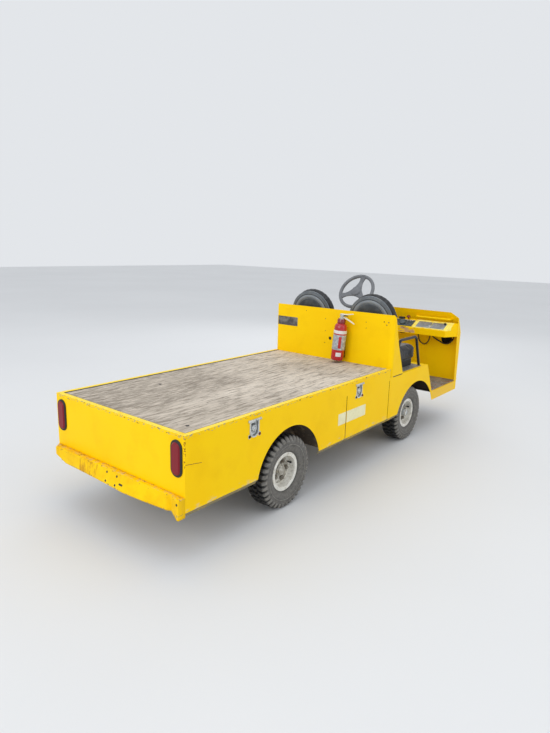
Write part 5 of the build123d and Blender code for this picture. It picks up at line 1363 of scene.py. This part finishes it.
@dataclass
class SteeringWheel:
    """Moulded wheel: a torus of oval section, three spokes that flare into rim and hub."""

    centre: tuple[float, float, float] = (1.199, 0.286, 1.163)
    tilt_deg: float = 33.5
    radius: float = 0.1660
    thickness: float = 0.0158
    spokes: tuple[float, ...] = (83.0, 203.0, 323.0)

    def build(self) -> None:
        """Makes the wheel in place of the CAD one."""
        shape = joined(self.rim(), self.hub(), *[self.spoke(a) for a in self.spokes])
        tilt = math.radians(self.tilt_deg)
        normal = np.array([-math.cos(tilt), 0.0, math.sin(tilt)])
        across = np.array([0.0, -1.0, 0.0])
        axes = np.stack([across, np.cross(normal, across), normal])
        piece = put("steering_wheel_moulded", shape.placed(self.centre, axes), GRIP, "steering_wheel", 60)
        stands_for("steering_wheel")

    def rim(self) -> Shape:
        """Oval section turned round a circle, with finger waves on its underside."""
        a = np.linspace(0, 2 * np.pi, 144, endpoint=False)[:, None]
        b = np.linspace(0, 2 * np.pi, 20, endpoint=False)[None]
        wave = 1 + 0.05 * np.cos(48 * a) * (np.sin(b) < -0.2)
        r = self.radius + self.thickness * np.cos(b) * wave
        z = self.thickness * 1.1 * np.sin(b) * wave
        return grid(np.stack([r * np.cos(a), r * np.sin(a), z], -1), True, True)

    def hub(self) -> Shape:
        """Dished hub with a flat cap and a boss under it, turned from a profile."""
        return turned([(0, 0.024), (0.026, 0.024), (0.030, 0.021), (0.034, 0.0215), (0.046, 0.016),
                       (0.053, 0.004), (0.050, -0.010), (0.030, -0.018), (0.0235, -0.040), (0, -0.040)], 48)

    def spoke(self, angle_deg: float) -> Shape:
        """Flat oval carried outwards, wide at the hub and rim and waisted between.

        Args:
            angle_deg: direction, anticlockwise from the driver's right.

        Returns:
            The spoke, its ends sunk in hub and rim.
        """
        s = np.linspace(0, 1, 16)[:, None]
        b = np.linspace(0, 2 * np.pi, 20, endpoint=False)[None]
        half = 0.046 - 0.026 * np.sin(np.pi * np.minimum(s * 0.72, 0.5)) + 0.016 * s ** 5
        thick = 0.0115 - 0.003 * np.sin(np.pi * s)
        x = 0.024 + (self.radius - 0.028) * s + 0 * b
        y = half * np.sign(np.cos(b)) * np.abs(np.cos(b)) ** 0.7
        z = thick * np.sign(np.sin(b)) * np.abs(np.sin(b)) ** 0.7 - 0.002 * np.sin(np.pi * s)
        a = math.radians(angle_deg)
        turn = np.array([[math.cos(a), math.sin(a), 0], [-math.sin(a), math.cos(a), 0], [0, 0, 1]])
        return stacked(np.stack([x, y, z], -1)).placed((0, 0, 0), turn)


@dataclass
class Controls:
    """Steering column and pedals."""

    def build(self) -> None:
        """Dresses the column and the pedals."""
        dress(TUBE_BLACK, "steering_column")
        dress(DARK_STEEL, "pedals")


@dataclass
class Dash:
    """Sloping dash: dark cluster, silver passenger plates, and the small parts on them.

    Places on it are (mm up the slope, y in mm), from the lip's inner edge.
    """

    origin: tuple[float, float, float] = (1.5143, 0.0, 0.8458)
    slope_deg: float = 25.9
    plate: float = 0.0040
    under: float = -0.0004
    switches: tuple[int, ...] = (-128, -104, -80, 40, 66)
    relays: tuple = ((0.000, 0.060), (0.095, 0.080))

    def build(self) -> None:
        """Makes the plates in place of the CAD ones, and all that stands on them."""
        foot = self.plate - SUNK
        plates = joined(*[self.flat(52, (a + b) / 2, 104, b - a, self.under, self.plate)
                          for a, b in ((-468, -332), (-326, -190))])
        silver = put("passenger_plates", plates, ALUMINIUM)
        stands_for("instrument_panels")
        cluster = put("driver_cluster", self.flat(52, -10, 104, 280, self.under, self.plate), DARK_PANEL)
        put("cluster_edge_strip", self.flat(100, -10, 7, 280, foot, self.plate + 0.0035), NICKEL)
        switches = [self.flat(84, y, 16, 11, foot, self.plate + 0.009) for y in self.switches]
        put("dash_switches", joined(*switches), NICKEL)
        gauge = turned([(0, 0.010), (0.024, 0.010), (0.026, 0.012), (0.029, 0.011), (0.030, 0), (0, 0)], 40)
        put("dash_gauge", self.on(gauge, 46, -42, foot), DARK_PANEL)
        knob = turned([(0, 0.016), (0.008, 0.016), (0.011, 0.013), (0.009, 0.006), (0.010, 0), (0, 0)], 28)
        put("passenger_knob", self.on(knob, 88, -452, foot), RUBBER)
        put("plate_clip", self.flat(10, -329, 20, 16, foot, self.plate + 0.006), NICKEL)
        red = turned([(0, 0.034), (0.012, 0.034), (0.017, 0.028), (0.017, 0.020), (0.008, 0.014),
                      (0.007, 0), (0, 0)], 36)
        put("red_stop_knob", red.placed((1.622, -0.070, 0.904), facing(-0.35, 0, 0.94)), DARK_RED)
        ledge = [slab(rounded(0.030, length, 0.004, 4), 0, 0.016, 0.003).placed((1.615, y, 0.902))
                 for y, length in self.relays]
        put("ledge_relays", joined(*ledge), RUBBER)
        horn = turned([(0, 0.0), (0.030, 0.0), (0.034, -0.010), (0.030, -0.030), (0, -0.034)], 32)
        put("horn_under_dash", horn.placed((1.560, -0.045, 0.800)), DARK_STEEL)

    def axes(self) -> Array:
        """Rows: up the slope, to the left, and out of the dash."""
        a = math.radians(self.slope_deg)
        return np.array([[math.cos(a), 0, math.sin(a)], [0, 1, 0], [-math.sin(a), 0, math.cos(a)]])

    def on(self, shape: Shape, up: float, y: float, out: float = 0.0) -> Shape:
        """A shape set on the slope at a place in mm, its foot some metres out of the sheet."""
        axes = self.axes()
        origin = np.array(self.origin) + axes[0] * up * MM + axes[1] * y * MM + axes[2] * out
        return shape.placed(origin, axes)

    def flat(self, up: float, y: float, length: float, width: float, low: float, high: float) -> Shape:
        """Flat block on the slope: its middle and size in mm, its foot and top in metres."""
        corner = min(length, width) * MM * 0.12
        return self.on(slab(rounded(length * MM, width * MM, corner, 4), low, high, 0.001), up, y)


@dataclass
class Extinguisher:
    """Red bottle with plain labels, collar, valve, levers and bracket, leaning a little."""

    x: float = 0.263
    y: float = -0.121
    foot: float = 0.697
    radius: float = 0.050
    height: float = 0.290
    collar: float = 0.033
    lean_deg: float = 4.8
    label_deg: float = 218.0
    label_foot: float = 0.0005

    def build(self) -> None:
        """Makes the bottle and its fittings in place of the CAD ones."""
        r, top = self.radius, self.height
        bottle = self.placed(turned([
            (0, 0.005), (r * 0.60, 0.005), (r * 0.68, 0.001), (r * 0.88, 0.001), (r * 0.97, 0.005),
            (r, 0.014), (r, 0.252), (r * 0.99, 0.262), (r * 0.95, 0.272), (r * 0.86, 0.281),
            (r * 0.72, 0.288), (r * 0.60, top), (r * 0.60, top + 0.004), (0, top + 0.004)], 72))
        piece = put("extinguisher_cylinder", bottle, RED_ENAMEL)
        stands_for("extinguisher_bottle")
        for name, low, high, finish in (("extinguisher_label", 0.085, 0.205, FOIL),
                                        ("extinguisher_upper_label", 0.214, 0.240, WHITE_LABEL)):
            put(name, self.band(low, high), finish)
        put("extinguisher_lower_label", self.patch(0.034, 0.066, 0.42), WHITE_LABEL)
        put("extinguisher_label_stripe", self.patch(0.100, 0.192, 0.22, 0.0012), RED_ENAMEL)
        c = self.collar
        put("extinguisher_collar", self.placed(turned([
            (0, top + 0.001), (c * 0.86, top + 0.001), (c, top + 0.006), (c, top + 0.030),
            (c * 0.88, top + 0.037), (0, top + 0.037)], 48)), DARK_RED)
        self.valve()
        for name, width, height, out, y, z in (
                ("extinguisher_bracket", 0.030, 0.235, 0.022, -0.012, 0.825),
                ("extinguisher_bracket_foot", 0.050, 0.010, 0.018, 0.040, 0.690)):
            block = slab(rounded(width, height, 0.004, 4), 0.0, out, 0.002)
            place = (DECK_END - 0.0005, self.y + y, z)
            put(name, block.placed(place, facing(-1, 0, 0)), DARK_STEEL)

    def placed(self, shape: Shape) -> Shape:
        """A shape about the bottle's own axis stood at its foot, leaning to the right."""
        a = math.radians(self.lean_deg)
        axes = np.array([[1, 0, 0], [0, math.cos(a), math.sin(a)], [0, -math.sin(a), math.cos(a)]])
        return shape.placed((self.x, self.y, self.foot), axes)

    def band(self, low: float, high: float) -> Shape:
        """Thin sleeve on the bottle between two heights."""
        r = self.radius
        return self.placed(turned([(r - 0.001, low), (r + 0.0006, low + 0.0005),
                                   (r + 0.0006, high - 0.0005), (r - 0.001, high)], 72, close=True))

    def patch(self, low: float, high: float, half_angle: float, proud: float = 0.0008) -> Shape:
        """Label patch on the rear right of the bottle: an inner and an outer skin, each with
        x = r cos a and y = r sin a, and the narrow edge between them.

        Args:
            low: height of its foot over the bottle's foot.
            high: height of its top.
            half_angle: from its middle to its side, in radians.
            proud: how far it stands out of the bottle.

        Returns:
            The closed patch in the frame.
        """
        a = np.linspace(-half_angle, half_angle, 16) + math.radians(self.label_deg)
        skins, rings = [], []
        for r in (self.radius - self.label_foot, self.radius + proud):
            rows = [np.stack([r * np.cos(a), r * np.sin(a), np.full_like(a, z)], -1) for z in (low, high)]
            skins.append(grid(np.stack(rows)))
            rings.append(np.vstack([rows[0], rows[1][::-1]]))
        return self.placed(joined(*skins, grid(np.stack(rings), wrap_columns=True)))

    def valve(self) -> None:
        """Turned valve body, gauge, two arched levers and the black hose clip between them."""
        z = self.height + 0.036
        body = turned([(0, 0), (0.0205, 0), (0.0205, 0.008), (0.015, 0.011), (0.015, 0.022),
                       (0.019, 0.025), (0.019, 0.036), (0.013, 0.041), (0, 0.041)], 40)
        piece = put("extinguisher_valve_body", self.placed(body.placed((0, 0, z))), NICKEL)
        stands_for("extinguisher_valve")
        for name, start, end, low, high, half, finish in (
                ("extinguisher_upper_lever", 0.012, 0.095, 0.037, 0.054, 0.0085, LEVER),
                ("extinguisher_lower_lever", 0.008, 0.114, 0.018, -0.020, 0.0095, LEVER),
                ("extinguisher_hose_clip", 0.010, 0.052, 0.029, 0.030, 0.0075, RUBBER)):
            put(name, self.lever(start, end, z + low, z + high, half), finish)
        gauge = turned([(0, 0.020), (0.011, 0.020), (0.0135, 0.017), (0.0135, 0.004), (0, 0.004)], 28)
        gauge = gauge.placed((0, 0, z + 0.014), facing(-0.8, -0.6, 0.0))
        put("extinguisher_gauge", self.placed(gauge), NICKEL)

    def lever(self, start: float, end: float, low: float, high: float, half: float) -> Shape:
        """Pressed lever that leads away to the right: a rounded section along a bent line.

        Args:
            start: distance from the valve's middle.
            end: distance of the tip.
            low: height at the start, over the bottle's foot.
            high: height at the tip.
            half: half of its width.

        Returns:
            The closed lever in the frame.
        """
        s = np.linspace(0, 1, 14)[:, None]
        section = rounded(2 * half, 0.009, 0.003, 4)[None]
        taper = 1.0 - 0.35 * s ** 2
        x = section[..., 0] * taper
        y = -start - (end - start) * s + 0 * x
        z = low + (high - low) * s ** 1.2 + section[..., 1] * taper
        return self.placed(stacked(np.stack([x, y, z], -1)))


def main() -> None:
    """Builds and dresses the vehicle's sub-assemblies in order."""
    logging.basicConfig(level=logging.INFO, format="%(message)s")
    wheels = [RoadWheel(f"{axle}_{hand}", side) for axle in ("rear", "front") for hand, side in HANDS]
    for assembly in (Studio(), Wiring(), Bodywork(), Underbody(), TieDowns(), RearBumper(), Lamps(),
                     *wheels, Seats(), SteeringWheel(), Controls(), Dash(), Extinguisher()):
        assembly.build()
        log.info("built %s", type(assembly).__name__)


if __name__ == "__main__":
    main()
